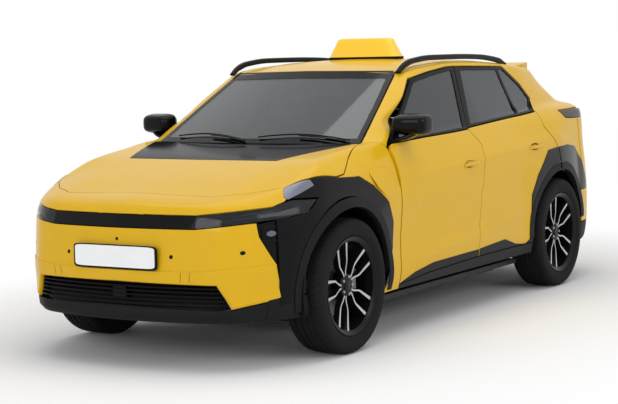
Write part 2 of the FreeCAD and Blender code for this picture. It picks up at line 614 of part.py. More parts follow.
cowl = plan_prism(both_ways(COWL), 1060, SCREEN_LOW).common(skin_back)
part("cowl", solids_of(cowl.cut(body_side).cut(mirrored(body_side)).cut(fender).cut(mirrored(fender))))


def liner(y, inner, outer_edge, low):
    """Curved wheel housing over one tyre, with its inner side plate."""
    radius = ARCH + 12
    ring = Part.makeCylinder(radius + 4, outer_edge - inner, V(inner, y, HUB), V(1, 0, 0))
    ring = ring.cut(Part.makeCylinder(radius, outer_edge - inner - 4, V(inner + 4, y, HUB), V(1, 0, 0)))
    return ring.cut(block(0, 1200, y - 1000, y + 1000, -600, low))


front_liner = liner(-AXLE, 430, 846, 560).cut(block(0, 652, -AXLE - 600, -AXLE + 600, 0, 900))
rear_liner = liner(AXLE, 556, 768, 400)
housings = [solids_of(front_liner.cut(wing)), solids_of(rear_liner)]
part("wheel_housings", Part.makeCompound(housings + [mirrored(shape) for shape in housings]))

# ------------------------------------------------------------------ suspension
def suspension_front():
    """Subframe, steering rack, lower and upper wishbones up to the ball joints."""
    pieces = [block(-330, 330, -AXLE - 150, -AXLE + 150, 150, 196)]
    pieces.append(Part.makeCylinder(24, 640, V(-320, -AXLE + 178, 240), V(1, 0, 0)))
    pieces.append(block(-60, 60, -AXLE + 140, -AXLE + 196, 180, 240))
    for sign in (1, -1):
        ball = V(sign * KINGPIN, -AXLE, 178)
        for shift in (-130, 130):
            inner = V(sign * 315, -AXLE + shift, 178)
            pieces.append(Part.makeCylinder(15, (ball - inner).Length, inner, ball - inner))
        pieces.append(Part.makeCylinder(26, 30, V(sign * KINGPIN, -AXLE, 163)))
        damper = Part.makeCylinder(24, 560, V(sign * 560, -AXLE, 190), V(-sign * 0.05, 0, 1))
        spring = Part.makeCylinder(50, 250, V(sign * 545, -AXLE, 480), V(-sign * 0.05, 0, 1))
        cross = block(min(sign * 540, sign * 580), max(sign * 540, sign * 580), -AXLE - 75, -AXLE + 75, 165, 192)
        pieces += [damper, spring, cross]
    return pieces[0].multiFuse(pieces[1:])


part("front_suspension", suspension_front())


def knuckle():
    """Left front knuckle: hub carrier, arms to the two ball joints, caliper."""
    hub = Part.makeCylinder(56, 58, V(size("track_width") / 2 - 96, -AXLE, HUB), V(1, 0, 0))
    upright = block(KINGPIN - 30, KINGPIN - 2, -AXLE - 55, -AXLE + 55, 220, HUB + 100)
    lower_arm = Part.makeCylinder(22, 40, V(KINGPIN, -AXLE, 194))
    arm_link = block(KINGPIN - 30, KINGPIN + 20, -AXLE - 22, -AXLE + 22, 220, 240)
    caliper = block(KINGPIN - 2, KINGPIN + 92, -AXLE + 95, -AXLE + 178, HUB - 60, HUB + 70)
    disc_space = Part.makeCylinder(170, 36, V(size("track_width") / 2 - 39, -AXLE, HUB), V(1, 0, 0))
    caliper = caliper.cut(disc_space)
    carrier = block(KINGPIN - 30, KINGPIN - 2, -AXLE + 40, -AXLE + 178, HUB - 60, HUB + 70)
    return hub.multiFuse([upright, lower_arm, arm_link, caliper, carrier])


left_knuckle = knuckle()
part("knuckle_front_left", left_knuckle)
part("knuckle_front_right", mirrored(left_knuckle))


def suspension_rear():
    """Subframe, lower arms and hub carriers of both rear wheels."""
    pieces = [block(-380, 380, AXLE - 60, AXLE + 60, 170, 222)]
    for sign in (1, -1):
        x_hub = sign * (size("track_width") / 2 - 96)
        carrier = block(min(x_hub, x_hub - sign * 30), max(x_hub, x_hub - sign * 30), AXLE - 60, AXLE + 60,
                        170, HUB + 90)
        pieces.append(carrier)
        pieces.append(Part.makeCylinder(56, 58, V(x_hub, AXLE, HUB), V(sign, 0, 0)))
        for shift in (-45, 45):
            start = V(sign * 370, AXLE + shift, 196)
            stop = V(x_hub - sign * 15, AXLE + shift, 200)
            pieces.append(Part.makeCylinder(16, (stop - start).Length, start, stop - start))
    return pieces[0].multiFuse(pieces[1:])


part("rear_suspension", suspension_rear())

# ------------------------------------------------------------------ wheels
def origin_plane(body, role):
    return next(item for item in body.Origin.OriginFeatures if item.Role == role)


def sketch_of(body, label, role, points, lift="0"):
    """Closed sketch whose corners are bound to the sheet, as (across, up) expressions."""
    sketch = body.newObject("Sketcher::SketchObject", label)
    sketch.AttachmentSupport = (origin_plane(body, role), "")
    sketch.MapMode = "FlatFace"
    sketch.setExpression("AttachmentOffset.Base.z", lift)
    count = len(points)
    rough = [V(300 * math.cos(-2 * math.pi * i / count), 300 + 200 * math.sin(-2 * math.pi * i / count), 0)
             for i in range(count)]
    for index in range(count):
        sketch.addGeometry(Part.LineSegment(rough[index], rough[(index + 1) % count]))
    for index in range(count):
        sketch.addConstraint(Sketcher.Constraint("Coincident", index, 2, (index + 1) % count, 1))
    for index, (across, up) in enumerate(points):
        for kind, expression in (("DistanceX", across), ("DistanceY", up)):
            place = rough[index].x if kind == "DistanceX" else rough[index].y
            number = sketch.addConstraint(Sketcher.Constraint(kind, -1, 1, index, 1, place))
            sketch.setExpression("Constraints[%d]" % number, expression)
    return sketch


def turned(body, sketch, label):
    """Solid of revolution about the sketch's horizontal axis."""
    feature = body.newObject("PartDesign::Revolution", label)
    feature.Profile = sketch
    feature.ReferenceAxis = (sketch, ["H_Axis"])
    feature.Angle = 360
    return feature


WIDE = "Sizes.tyre_width / 2"
TREAD = "Sizes.tyre_diameter / 2"
FLANGE = "Sizes.rim_diameter / 2"
EDGE = "Sizes.rim_width / 2"
TYRE_HALF = [
    (EDGE + " - 12.2", FLANGE + " - 15.6"), (EDGE + " - 13", FLANGE + " + 1"), (EDGE, FLANGE + " + 6"),
    (WIDE, FLANGE + " + 40"), (WIDE + " - 1", TREAD + " - 36"), (WIDE + " - 8", TREAD + " - 15"),
    (WIDE + " - 20", TREAD + " - 4"), (WIDE + " - 36", TREAD)]
BARREL_HALF = [
    (EDGE + " - 46", FLANGE + " - 30"), (EDGE + " - 14", FLANGE + " - 27"), (EDGE, FLANGE + " - 8"), (EDGE, FLANGE),
    (EDGE + " - 9", FLANGE), (EDGE + " - 12", FLANGE + " - 16"), (EDGE + " - 44", FLANGE + " - 21")]
HUB_PROFILE = [("-34", "0"), ("-34", "Sizes.disc_diameter / 2"), ("-8", "Sizes.disc_diameter / 2"), ("-8", "84"),
               ("38", "84"), ("38", "Sizes.hub_radius"), ("82", "Sizes.hub_radius - 12"), ("86", "30"), ("86", "0")]
SPOKE = [("-34", "52"), ("-96", FLANGE + " - 43"), ("-64", FLANGE + " - 32"), ("-9", "128"), ("9", "128"),
         ("64", FLANGE + " - 32"), ("96", FLANGE + " - 43"), ("34", "52")]


def both_halves(half):
    return [("-(%s)" % across, up) for across, up in half] + [(across, up) for across, up in reversed(half)]


def place_wheel(body, side, end):
    bind(body, Placement__Base__x="%s Sizes.track_width / 2" % ("" if side == "left" else "-1 *"))
    bind(body, Placement__Base__y="%s Sizes.wheelbase / 2" % ("-1 *" if end == "front" else ""))
    bind(body, Placement__Base__z="Sizes.tyre_diameter / 2")


for end in ("front", "rear"):
    for side in ("left", "right"):
        name = "%s_%s" % (end, side)
        facing = FreeCAD.Rotation(V(0, 0, 1), 0 if side == "left" else 180)
        tyre = doc.addObject("PartDesign::Body", "tyre_" + name)
        turned(tyre, sketch_of(tyre, "tyre_profile_" + name, "XY_Plane", both_halves(TYRE_HALF)), "tyre_solid_" + name)
        rim = doc.addObject("PartDesign::Body", "rim_" + name)
        turned(rim, sketch_of(rim, "hub_profile_" + name, "XY_Plane", HUB_PROFILE), "hub_solid_" + name)
        doc.recompute()
        spoke = rim.newObject("PartDesign::Pad", "spoke_" + name)
        spoke.Profile = sketch_of(rim, "spoke_outline_" + name, "YZ_Plane", SPOKE, "50")
        spoke.Length = 34
        doc.recompute()
        spokes = rim.newObject("PartDesign::PolarPattern", "spokes_" + name)
        spokes.Originals = [spoke]
        spokes.Axis = (origin_plane(rim, "X_Axis"), [""])
        spokes.Angle = 360
        spokes.Occurrences = 5
        rim.Tip = spokes
        doc.recompute()
        turned(rim, sketch_of(rim, "barrel_profile_" + name, "XY_Plane", both_halves(BARREL_HALF)), "barrel_" + name)
        doc.recompute()
        for body in (tyre, rim):
            body.Placement = FreeCAD.Placement(V(0, 0, 0), facing)
            place_wheel(body, side, end)

# ------------------------------------------------------------------ cabin
SEAT_BASE = [(-330, 250), (230, 250), (250, 420), (230, 520), (-280, 560), (-330, 520)]
SEAT_BACK = [(190, 510), (330, 500), (470, 1130), (440, 1170), (380, 1170), (330, 1120)]
HEADREST = [(405, 1180), (480, 1180), (500, 1330), (480, 1350), (430, 1350), (415, 1330)]


def pad_side(label, points, width, x):
    """Side profile in (y, z) made into a piece of the given width, its middle at x."""
    face = side_face(points)
    face.translate(V(x - width / 2, 0, 0))
    return face.extrude(V(width, 0, 0))


def front_seat(x):
    seat_width = size("seat_width")
    base = pad_side("base", SEAT_BASE, seat_width, x)
    back = pad_side("back", SEAT_BACK, seat_width - 30, x)
    rest = pad_side("rest", HEADREST, 250, x)
    stay = pad_side("stay", [(410, 1160), (440, 1160), (450, 1190), (420, 1190)], 120, x)
    rails = block(x - 200, x + 200, -250, 200, 230, 260)
    return base.multiFuse([back, rest, stay, rails])


part("front_seats", both(front_seat(size("seat_pitch") / 2)))
rear_base = pad_side("rear base", [(430, 400), (930, 360), (955, 430), (955, 560), (900, 590), (470, 590), (430, 540)], 1180, 0)
rear_back = pad_side("rear back", [(880, 560), (960, 560), (1150, 1130), (1120, 1160), (1060, 1150)], 1180, 0)
rear_feet = block(-500, 500, 560, 900, 230, 420)
part("rear_seat", rear_base.multiFuse([rear_back, rear_feet]))
DASH = [(-885, 700), (-560, 560), (-500, 640), (-470, 820), (-560, 960), (-700, 1030), (-885, 1056)]
dash = pad_side("dash", DASH, 1360, 0)
console = pad_side("console", [(-560, 230), (330, 230), (330, 560), (100, 600), (-490, 560)], 190, 0)
part("dashboard", dash.fuse(console))
wheel_ring = Part.makeTorus(178, 15, V(0, 0, 0), V(0, 0.92, 0.39))
wheel_boss = Part.makeCylinder(62, 40, V(0, -38, -16), V(0, 0.92, 0.39))
wheel_bars = block(-176, 176, -8, 8, -16, 16).fuse(block(-16, 16, -8, 8, -176, 0))
wheel_bars.rotate(V(0, 0, 0), V(1, 0, 0), 23)
column = Part.makeCylinder(26, 120, V(0, -132, -56), V(0, 0.92, 0.39))
steering = wheel_ring.multiFuse([wheel_boss, wheel_bars, column])
steering.translate(V(size("seat_pitch") / 2, -430, 900))
part("steering_wheel", solids_of(steering.cut(dash)))
part("inner_mirror", block(-120, 120, -405, -380, 1400, 1462).fuse(block(-12, 12, -408.4, -380, 1450, 1500)))
doc.recompute()

failed = [item.Label for item in doc.Objects if "Invalid" in item.State or "Error" in item.State]
if failed:
    raise RuntimeError("these objects failed: " + ", ".join(failed))
os.makedirs("parts", exist_ok=True)
for item in doc.Objects:
    if hasattr(item, "Shape") and not item.InList and not item.isDerivedFrom("Sketcher::SketchObject"):
        shape = item.Shape
        if shape.isNull() or not shape.isValid():
            raise RuntimeError("the shape of " + item.Label + " is not valid")
        shape.exportStep("parts/" + item.Label + ".step")
        print(item.Label, len(shape.Solids), round(shape.Volume / 1e6, 2))
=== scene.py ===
# %% [markdown]
# A yellow electric taxi, dressed for a studio picture. The construction model gives every panel, pane and
# wheel its place, its joints and its plain form. This lesson puts the finished surfaces over that model:
# curved sheet metal with shut lines, lamps, split-spoke wheels, glass and a padded cabin.
# Lengths in the tables are millimetres, because that is how a body drawing is dimensioned.

# %% Load the model
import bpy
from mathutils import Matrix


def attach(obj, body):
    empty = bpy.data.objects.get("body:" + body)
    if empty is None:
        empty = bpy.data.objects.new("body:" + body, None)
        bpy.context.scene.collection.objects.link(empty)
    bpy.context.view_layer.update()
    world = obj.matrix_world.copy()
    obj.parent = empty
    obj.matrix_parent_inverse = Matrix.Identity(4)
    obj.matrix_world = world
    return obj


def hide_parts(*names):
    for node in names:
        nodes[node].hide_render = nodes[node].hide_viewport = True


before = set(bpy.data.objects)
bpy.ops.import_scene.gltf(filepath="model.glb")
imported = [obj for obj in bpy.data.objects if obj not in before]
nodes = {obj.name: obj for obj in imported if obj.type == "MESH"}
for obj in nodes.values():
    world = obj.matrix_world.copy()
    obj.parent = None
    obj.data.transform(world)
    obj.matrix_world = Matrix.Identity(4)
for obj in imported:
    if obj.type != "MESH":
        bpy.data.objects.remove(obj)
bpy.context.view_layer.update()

# %% [markdown]
# Whole surfaces are computed as arrays of numbers, and only finished points become meshes. That keeps each
# formula in one place and the script quick.

# %% Tools
import math
import bpy
import numpy as np
from mathutils import Matrix, Vector
from mathutils.geometry import delaunay_2d_cdt

# %% [markdown]
# Paint and plastic come first, so that each panel can be given its finish as it is made. Car paint is a
# coloured layer under a clear lacquer, and the lacquer has a faint "orange peel". A noise far finer than the
# panels, fed into Bump, gives that. Moulded plastic has a coarser grain and no lacquer.

# %% Finishes
def node(tree, kind, **values):
    """A shader node with its settings; a key after an underscore is an input, by its number or its name."""
    made = tree.nodes.new("ShaderNode" + kind)
    for key, value in values.items():
        if key[0] == "_":
            made.inputs[int(key[1:]) if key[1:].isdigit() else key[1:]].default_value = value
        else:
            setattr(made, key, value)
    return made


def finish(name, color, rough=0.4, metal=0.0, coat=0.0, grain=0.0, scale=300.0, spots=0.0, sheen=0.0, glow=0.0,
           level=0.5):
    """A Principled surface; grain is a noise height in Bump, spots darkens the colour by another noise."""
    made = bpy.data.materials.new(name)
    made.use_nodes = True
    tree = made.node_tree
    link = tree.links.new
    put = tree.nodes["Principled BSDF"].inputs
    settings = {"Base Color": (*color, 1), "Roughness": rough, "Metallic": metal, "Coat Weight": coat,
                "Coat Roughness": 0.04, "Sheen Weight": sheen, "Specular IOR Level": level}
    if glow:
        settings.update({"Emission Color": (*color, 1), "Emission Strength": glow})
    for key, value in settings.items():
        put[key].default_value = value
    place = node(tree, "TexCoord")
    if grain:
        noise = node(tree, "TexNoise", _Scale=scale, _Detail=3)
        bump = node(tree, "Bump", _Strength=1, _Distance=grain)
        link(place.outputs["Object"], noise.inputs["Vector"])
        link(noise.outputs["Fac"], bump.inputs["Height"])
        link(bump.outputs["Normal"], put["Normal"])
    if spots:
        patch = node(tree, "TexNoise", _Scale=9, _Detail=6)
        ramp = node(tree, "ValToRGB")
        darker = (*(c * (1 - spots) for c in color), 1)
        for stop, at, shade in zip(ramp.color_ramp.elements, (0.35, 0.65), (darker, (*color, 1))):
            stop.position, stop.color = at, shade
        link(place.outputs["Object"], patch.inputs["Vector"])
        link(patch.outputs["Fac"], ramp.inputs["Fac"])
        link(ramp.outputs["Color"], put["Base Color"])
    return made


print("finish maker ready")

# %% [markdown]
# The list of finishes follows: colour, roughness, and a grain of some hundredths of a millimetre. The blacks have
# nearly one colour, so it is their gloss and grain that tells lacquered trim from moulded plastic and rubber.

# %% List of finishes
PAINT = finish("yellow_paint", (0.7, 0.415, 0.008), rough=0.36, coat=0.3, grain=0.00002, scale=120, spots=0.02,
               level=0.08)
PIANO = finish("gloss_black", (0.003, 0.003, 0.004), rough=0.07, grain=0.00001, scale=200, level=0.12)
GRAINED = finish("textured_black", (0.012, 0.0125, 0.013), rough=0.5, grain=0.0002, scale=900, spots=0.1, level=0.07)
SATIN = finish("satin_black", (0.005, 0.005, 0.006), rough=0.34, grain=0.00005, scale=600, level=0.07)
GREY_TRIM = finish("sill_grey", (0.012, 0.0125, 0.013), rough=0.45, level=0.1, grain=0.0002, scale=700, spots=0.08)
BAND_BLACK = finish("band_black", (0.01, 0.01, 0.013), rough=0.12, grain=0.00001, scale=200, level=0.015)
RUBBER = finish("tyre_rubber", (0.012, 0.012, 0.013), rough=0.72, grain=0.0001, scale=800, spots=0.15, level=0.08)
RIM_BLACK = finish("rim_black", (0.006, 0.006, 0.007), rough=0.24, grain=0.00002, scale=300, level=0.12)
RIM_FACE = finish("rim_machined", (0.5, 0.51, 0.53), rough=0.3, metal=1.0, grain=0.00002, scale=900)
CAST = finish("cast_alloy", (0.34, 0.35, 0.36), rough=0.5, metal=0.8, grain=0.0003, scale=260, spots=0.15)
# The brake disc's steel is coloured darker than bare steel: painted shade for the inside of the wheel behind the
# spokes.
DISC_SHADED = finish("disc_steel_shaded", (0.14, 0.14, 0.145), rough=0.32, metal=1.0, grain=0.00005, scale=500)
STEEL = finish("dark_steel", (0.03, 0.031, 0.033), rough=0.55, metal=0.3, grain=0.0002, scale=160, spots=0.2,
               level=0.25)
CLOTH = finish("seat_cloth", (0.028, 0.029, 0.033), rough=0.85, grain=0.0003, scale=700, sheen=0.25, spots=0.2)
TRIM = finish("cabin_trim", (0.03, 0.03, 0.033), rough=0.6, grain=0.0002, scale=600, spots=0.1)
HEADLINER = finish("headliner", (0.1, 0.1, 0.105), rough=0.9, grain=0.0002, scale=900, sheen=0.2)
SIGN = finish("sign_yellow", (0.92, 0.55, 0.01), rough=0.3, coat=0.3, grain=0.00003, scale=150, glow=0.12)
PLATE = finish("plate_white", (0.86, 0.87, 0.88), rough=0.38, grain=0.00003, scale=500, spots=0.03)
REFLECTOR = finish("lamp_reflector", (0.17, 0.18, 0.22), rough=0.3, metal=0.9, grain=0.00004, scale=200)
LAMP_GLOW = finish("lamp_glass", (0.07, 0.08, 0.1), rough=0.08, coat=1.0, grain=0.00002, scale=200)
TAIL_RED = finish("tail_red", (0.03, 0.002, 0.003), rough=0.12, coat=0.1, grain=0.00004, scale=90, spots=0.35,
                  level=0.15)


def glass(name, color, alpha, coat=0.7, level=0.6):
    """Tinted glass as a dark see-through coat: alpha is how much of the tint covers what lies behind."""
    made = finish(name, color, rough=0.02, coat=coat, grain=0.000004, scale=3, level=level)
    made.node_tree.nodes["Principled BSDF"].inputs["Alpha"].default_value = alpha
    return made


GLASS = glass("window_glass", (0.01, 0.013, 0.019), 0.82, 0.2, 0.35)
SCREEN_GLASS = glass("screen_glass", (0.022, 0.03, 0.036), 0.62)
REAR_GLASS = glass("rear_glass", (0.006, 0.008, 0.01), 0.86, 0.2, 0.35)
LENS = glass("clear_lens", (0.012, 0.014, 0.018), 0.5, 0.2, 0.3)
print("finishes", len(bpy.data.materials))

# %% [markdown]
# The body is drawn as plan outlines, one at each height, from the middle of the nose round to the middle of
# the tail. Between the heights a monotone cubic keeps the sheet metal smooth without any overshoot. Round
# corners come from a short Gaussian blur along each outline, as a sanding block takes down a clay model.

# %% Outlines of the body
# level, nose pole, nose (x, y), corner (x, y, bulge), front wheel, door front, door rear, rear wheel x,
# quarter (x, y), tail (x, y, bulge), tail pole
LOWER = np.array([
    (200, -2215, 520, -2130, 800, -1850, 45, 860, 835, 835, 860, 810, 1800, 560, 2145, 70, 2185),
    (290, -2345, 565, -2267, 852, -1830, 55, 905, 872, 872, 905, 868, 1800, 600, 2285, 90, 2315),
    (400, -2323, 576, -2253, 866, -1810, 57, 922, 890, 890, 922, 880, 1800, 600, 2322, 93, 2344),
    (530, -2333, 580, -2261, 872, -1800, 58, 930, 886, 884, 930, 885, 1800, 600, 2325, 93, 2345),
    (660, -2319, 580, -2251, 872, -1800, 57, 930, 894, 890, 930, 885, 1800, 600, 2310, 93, 2330),
    (800, -2301, 580, -2237, 866, -1790, 57, 926, 903, 902, 928, 880, 1800, 610, 2270, 90, 2290),
    (950, -2255, 560, -2145, 848, -1620, 50, 868, 893, 896, 908, 862, 1820, 620, 2245, 80, 2268),
    (1130, -1645, 470, -1625, 690, -1560, 30, 704, 832, 826, 862, 845, 1880, 640, 2225, 60, 2260),
    (1200, -1545, 460, -1525, 640, -1540, 30, 655, 785, 782, 812, 820, 1930, 650, 2200, 48, 2250),
    (1236, -1445, 440, -1425, 600, -1520, 30, 610, 730, 735, 765, 772, 1930, 600, 2145, 42, 2190)], float)
# level, screen pole, screen (x, y), pillar (x, y), middle x, quarter (x, y), corner (x, y), tail (x, y), tail pole
UPPER = np.array([
    (1080, -1148, 725, -1040, 842, -890, 842, 812, 1300, 770, 1900, 600, 2120, 2160),
    (1230, -888, 672, -785, 779, -680, 779, 747, 1300, 700, 1850, 560, 2090, 2130),
    (1400, -593, 613, -496, 710, -400, 710, 682, 1250, 640, 1640, 500, 1850, 1898),
    (1530, -368, 568, -275, 654, -180, 655, 640, 1150, 600, 1500, 470, 1690, 1720),
    (1640, -178, 530, -90, 606, -20, 606, 600, 1000, 560, 1300, 430, 1520, 1560)], float)
# Bonnet profiles (y, z) at 0, 500, 770 and 1000 from the middle, from the nose back to the windscreen
BONNET_AT = np.array((0, 500, 770, 1000), float)
BONNET = np.array([
    [(-2420, 560), (-2301, 820), (-2275, 868), (-2200, 900), (-2112, 916), (-1850, 985), (-1537, 1056), (-1000, 1126)],
    [(-2370, 560), (-2250, 816), (-2225, 862), (-2160, 890), (-2100, 905), (-1850, 980), (-1537, 1058), (-1000, 1126)],
    [(-2260, 560), (-2075, 838), (-2050, 866), (-1990, 895), (-1920, 922), (-1800, 965), (-1537, 1062), (-1000, 1122)],
    [(-2200, 560), (-1900, 838), (-1880, 866), (-1850, 895), (-1820, 922), (-1760, 965), (-1537, 1062), (-1000, 1122)],
], float)
ROOF_Y = np.array((-700, -380, -100, 300, 700, 1200, 1700, 2100), float)
ROOF_DROP = np.array((150, 67, 24, 0, 3, 30, 74, 130), float)
ROOF_TOP, CROWN, SPAN = 1592.0, 24.0, 650.0
AXLE, HUB, ARCH, LIP_RADIUS = 1425.0, 371.5, 430.0, 486
LOWER_TOP, UPPER_FOOT = 1236, 1080
print("tables", LOWER.shape, UPPER.shape, BONNET.shape)

# %% [markdown]
# Three helpers turn tables into curves. One runs smoothly through a few given values, one averages like a sanding
# block, and one joins the corners of a level by parabolas. A loft through splines would ripple between its levels.

# %% Curves from tables
def through(at, places, rows):
    """Monotone cubic through table rows: Hermite pieces whose slopes are harmonic means of the chords."""
    step = np.diff(places)[:, None]
    chord = np.diff(rows, axis=0) / step
    slope = np.zeros_like(rows)
    before, after = chord[:-1], chord[1:]
    same = before * after > 1e-12
    slope[1:-1] = np.where(same, 2 * before * after / np.where(same, before + after, 1), 0)
    slope[0], slope[-1] = chord[0], chord[-1]
    k = np.clip(np.searchsorted(places, at) - 1, 0, len(places) - 2)
    t = ((at - places[k]) / step[k, 0])[:, None]
    h = step[k]
    return ((2 * t**3 - 3 * t**2 + 1) * rows[k] + (t**3 - 2 * t**2 + t) * h * slope[k]
            + (3 * t**2 - 2 * t**3) * rows[k + 1] + (t**3 - t**2) * h * slope[k + 1])


def blur(values, sigma, axis, mode="edge", odd=False):
    """Gaussian average along one axis; ends are repeated, or mirrored (with a change of sign if odd)."""
    reach = int(3 * sigma + 1)
    taps = np.exp(-0.5 * (np.arange(-reach, reach + 1) / sigma) ** 2)
    taps /= taps.sum()
    pad = [(0, 0)] * values.ndim
    pad[axis] = (reach, reach)
    kind = {"mode": "reflect", "reflect_type": "odd" if odd else "even"} if mode == "mirror" else {"mode": "edge"}
    wide = np.pad(values, pad, **kind)
    count = values.shape[axis]
    return sum(w * np.take(wide, range(i, i + count), axis=axis) for i, w in enumerate(taps))


def half_outline(corners, bulges, nose, tail):
    """Left half of each outline: parabolas over the nose, between the corners (with a bulge) and over the tail."""
    t = np.linspace(0, 1, 25)[None, :-1]
    first = corners[0]
    xs, ys = [first[0][:, None] * t], [nose[:, None] + (first[1] - nose)[:, None] * t**2]
    for a, b, bulge in zip(corners, corners[1:], bulges):
        dx, dy = b[0] - a[0], b[1] - a[1]
        hump = 4 * t * (1 - t) * (bulge / np.hypot(dx, dy))[:, None]
        xs.append(a[0][:, None] + dx[:, None] * t + dy[:, None] * hump)
        ys.append(a[1][:, None] + dy[:, None] * t - dx[:, None] * hump)
    last = corners[-1]
    t = np.linspace(0, 1, 25)[None, :]
    xs.append(last[0][:, None] * (1 - t))
    ys.append(tail[:, None] + (last[1] - tail)[:, None] * (1 - t) ** 2)
    x, y = np.hstack(xs), np.hstack(ys)
    run = np.hstack([np.zeros((len(x), 1)), np.cumsum(np.hypot(np.diff(x), np.diff(y)), axis=1)])
    even = np.linspace(0, 1, 600)
    x = np.array([np.interp(even * r[-1], r, v) for r, v in zip(run, x)])
    y = np.array([np.interp(even * r[-1], r, v) for r, v in zip(run, y)])
    return blur(x, 3.0, 1, "mirror", True), blur(y, 3.0, 1, "mirror")


print("curve helpers ready")

# %% [markdown]
# The body below the windows and the cabin above them have tables of their own, because their corners differ. Both
# are now drawn at every 6 mm of height, and each is carried on a little past its own end, where the two blend.

# %% Outlines at every height
ZS = np.arange(200, 1641, 6.0)
low = through(np.minimum(ZS, LOWER_TOP), LOWER[:, 0], LOWER)
zero = np.zeros(len(ZS))
low_x, low_y = half_outline(
    [(low[:, 2], low[:, 3]), (low[:, 4], low[:, 5]), (low[:, 7], zero - AXLE), (low[:, 8], zero - 850),
     (low[:, 9], zero + 850), (low[:, 10], zero + AXLE), (low[:, 11], low[:, 12]), (low[:, 13], low[:, 14])],
    [low[:, 6], zero + 12, zero, zero, zero, zero + 8, low[:, 15]], low[:, 1], low[:, 16])
top = through(np.maximum(ZS, UPPER_FOOT), UPPER[:, 0], UPPER)
top_x, top_y = half_outline(
    [(top[:, 2], top[:, 3]), (top[:, 4], top[:, 5]), (top[:, 6], zero + 400), (top[:, 7], top[:, 8]),
     (top[:, 9], top[:, 10]), (top[:, 11], top[:, 12])],
    [zero + 14, zero, zero, zero + 8, zero + 30], top[:, 1], top[:, 13])
print("outlines", low_x.shape, "widest", round(low_x.max() * 2), "mm")

# %% [markdown]
# From the outlines come height fields: the side seen square on, the nose, the tail and the windscreen. A fifth
# field caps them with bonnet, screen and roof. A panel is then nothing but an outline in one view, lifted on
# to its field. Panels that meet in two views agree, because all fields come from the same outlines.

# %% Height fields
YS, XS = np.arange(-2345, 2346, 7.0), np.arange(0, 941, 7.0)
# How far the lower outlines draw in, in mm for each mm above their last one and above the belt
DRAW_IN, BELT_DRAW_IN = 1.8, 4
# Width of the rounded seam between lower and upper body at the sides, nose and tail, and under the roof
SIDE_SEAM, NOSE_SEAM, TAIL_SEAM, ROOF_SEAM, SCREEN_SEAM = 22, 25, 30, 60, 14


def lesser(a, b, k):
    """Smaller of two surfaces with a rounded seam: a parabola blends them where they differ by less than k."""
    near = np.maximum(k - np.abs(a - b), 0)
    return np.minimum(a, b) - near**2 / (4 * k)


def crease(y, z, line, width, height):
    """Ridge along a line in the side view: height times a bell of the distance above or below it."""
    middle = np.interp(y, *zip(*line))
    fade = np.clip((y - line[0][0]) / 220, 0, 1) * np.clip((line[-1][0] - y) / 160, 0, 1)
    d = np.abs(z - middle) / width
    return height * fade * np.maximum(1 - d, 0) ** 2


belt = np.interp(YS, (-1000, -842, 190, 1277, 1500), (1114, 1120, 1152, 1217, 1236))
low_side = np.array([np.interp(YS, y, x) for y, x in zip(low_y, low_x)])
fall = np.maximum(ZS - LOWER_TOP, 0)[:, None] * DRAW_IN
low_side = low_side - fall - np.maximum(ZS[:, None] - belt, 0) * BELT_DRAW_IN
top_side = np.array([np.interp(YS, y, x) for y, x in zip(top_y, top_x)])
top_side = top_side - np.maximum(UPPER_FOOT - ZS, 0)[:, None]
drop = np.interp(YS, ROOF_Y, ROOF_DROP)
crown_x = SPAN * np.sqrt(np.maximum(ROOF_TOP - blur(drop, 8, 0)[None, :] - ZS[:, None], 0) / CROWN)
side_field = lesser(-lesser(-low_side, -top_side, SIDE_SEAM), crown_x, ROOF_SEAM)
side_field = blur(blur(side_field, 1.3, 0), 2.0, 1)
grid_y, grid_z = np.meshgrid(YS, ZS)
side_field += crease(grid_y, grid_z, [(-900, 905), (200, 948), (1100, 1003), (1800, 1060)], 75, 9)
side_field += crease(grid_y, grid_z, [(-780, 420), (100, 470), (900, 560)], 90, 10)
side_field -= crease(grid_y, grid_z, [(-800, 700), (100, 730), (980, 790)], 170, 9)


def ahead(xs, ys):
    """Front or rear of each outline as y over x: only the run up to the widest point is used."""
    rows = []
    for x, y in zip(xs, ys):
        end = int(np.argmax(x)) + 1
        rows.append(np.interp(XS, x[:end], y[:end]))
    return np.array(rows)


low_front, top_front = ahead(low_x, low_y), ahead(top_x, top_y)
low_back, top_back = ahead(low_x[:, ::-1], low_y[:, ::-1]), ahead(top_x[:, ::-1], top_y[:, ::-1])
profile = through(XS, BONNET_AT, BONNET.reshape(4, 16)).reshape(len(XS), 8, 2)
fine = np.linspace(0, 7, 400)
bonnet_y = blur(np.array([np.interp(fine, range(8), p[:, 0]) for p in profile]), 9, 1)
bonnet_z = blur(np.array([np.interp(fine, range(8), p[:, 1]) for p in profile]), 9, 1)
bonnet_front = np.array([np.interp(ZS, z, y) for z, y in zip(bonnet_z, bonnet_y)]).T
front_field = -lesser(-low_front, -bonnet_front, NOSE_SEAM)
front_field = blur(blur(front_field, 1.2, 0), 2.0, 1, "mirror")
back_field = -lesser(fall - low_back, np.maximum(UPPER_FOOT - ZS, 0)[:, None] - top_back, TAIL_SEAM)
back_field = blur(blur(back_field, 2.0, 0), 2.0, 1, "mirror")
bonnet_top = np.array([np.interp(YS, y, z) for y, z in zip(bonnet_y, bonnet_z)]).T
crown_z = ROOF_TOP - blur(drop, 8, 0)[:, None] - CROWN * (XS[None, :] / SPAN) ** 2
screen_z = np.array([np.interp(YS, y, ZS) for y in top_front.T]).T
ahead_of_cowl = YS[:, None] < -1000
cap_field = np.maximum(lesser(crown_z, screen_z, SCREEN_SEAM), np.where(ahead_of_cowl, bonnet_top, belt[:, None] + 6))


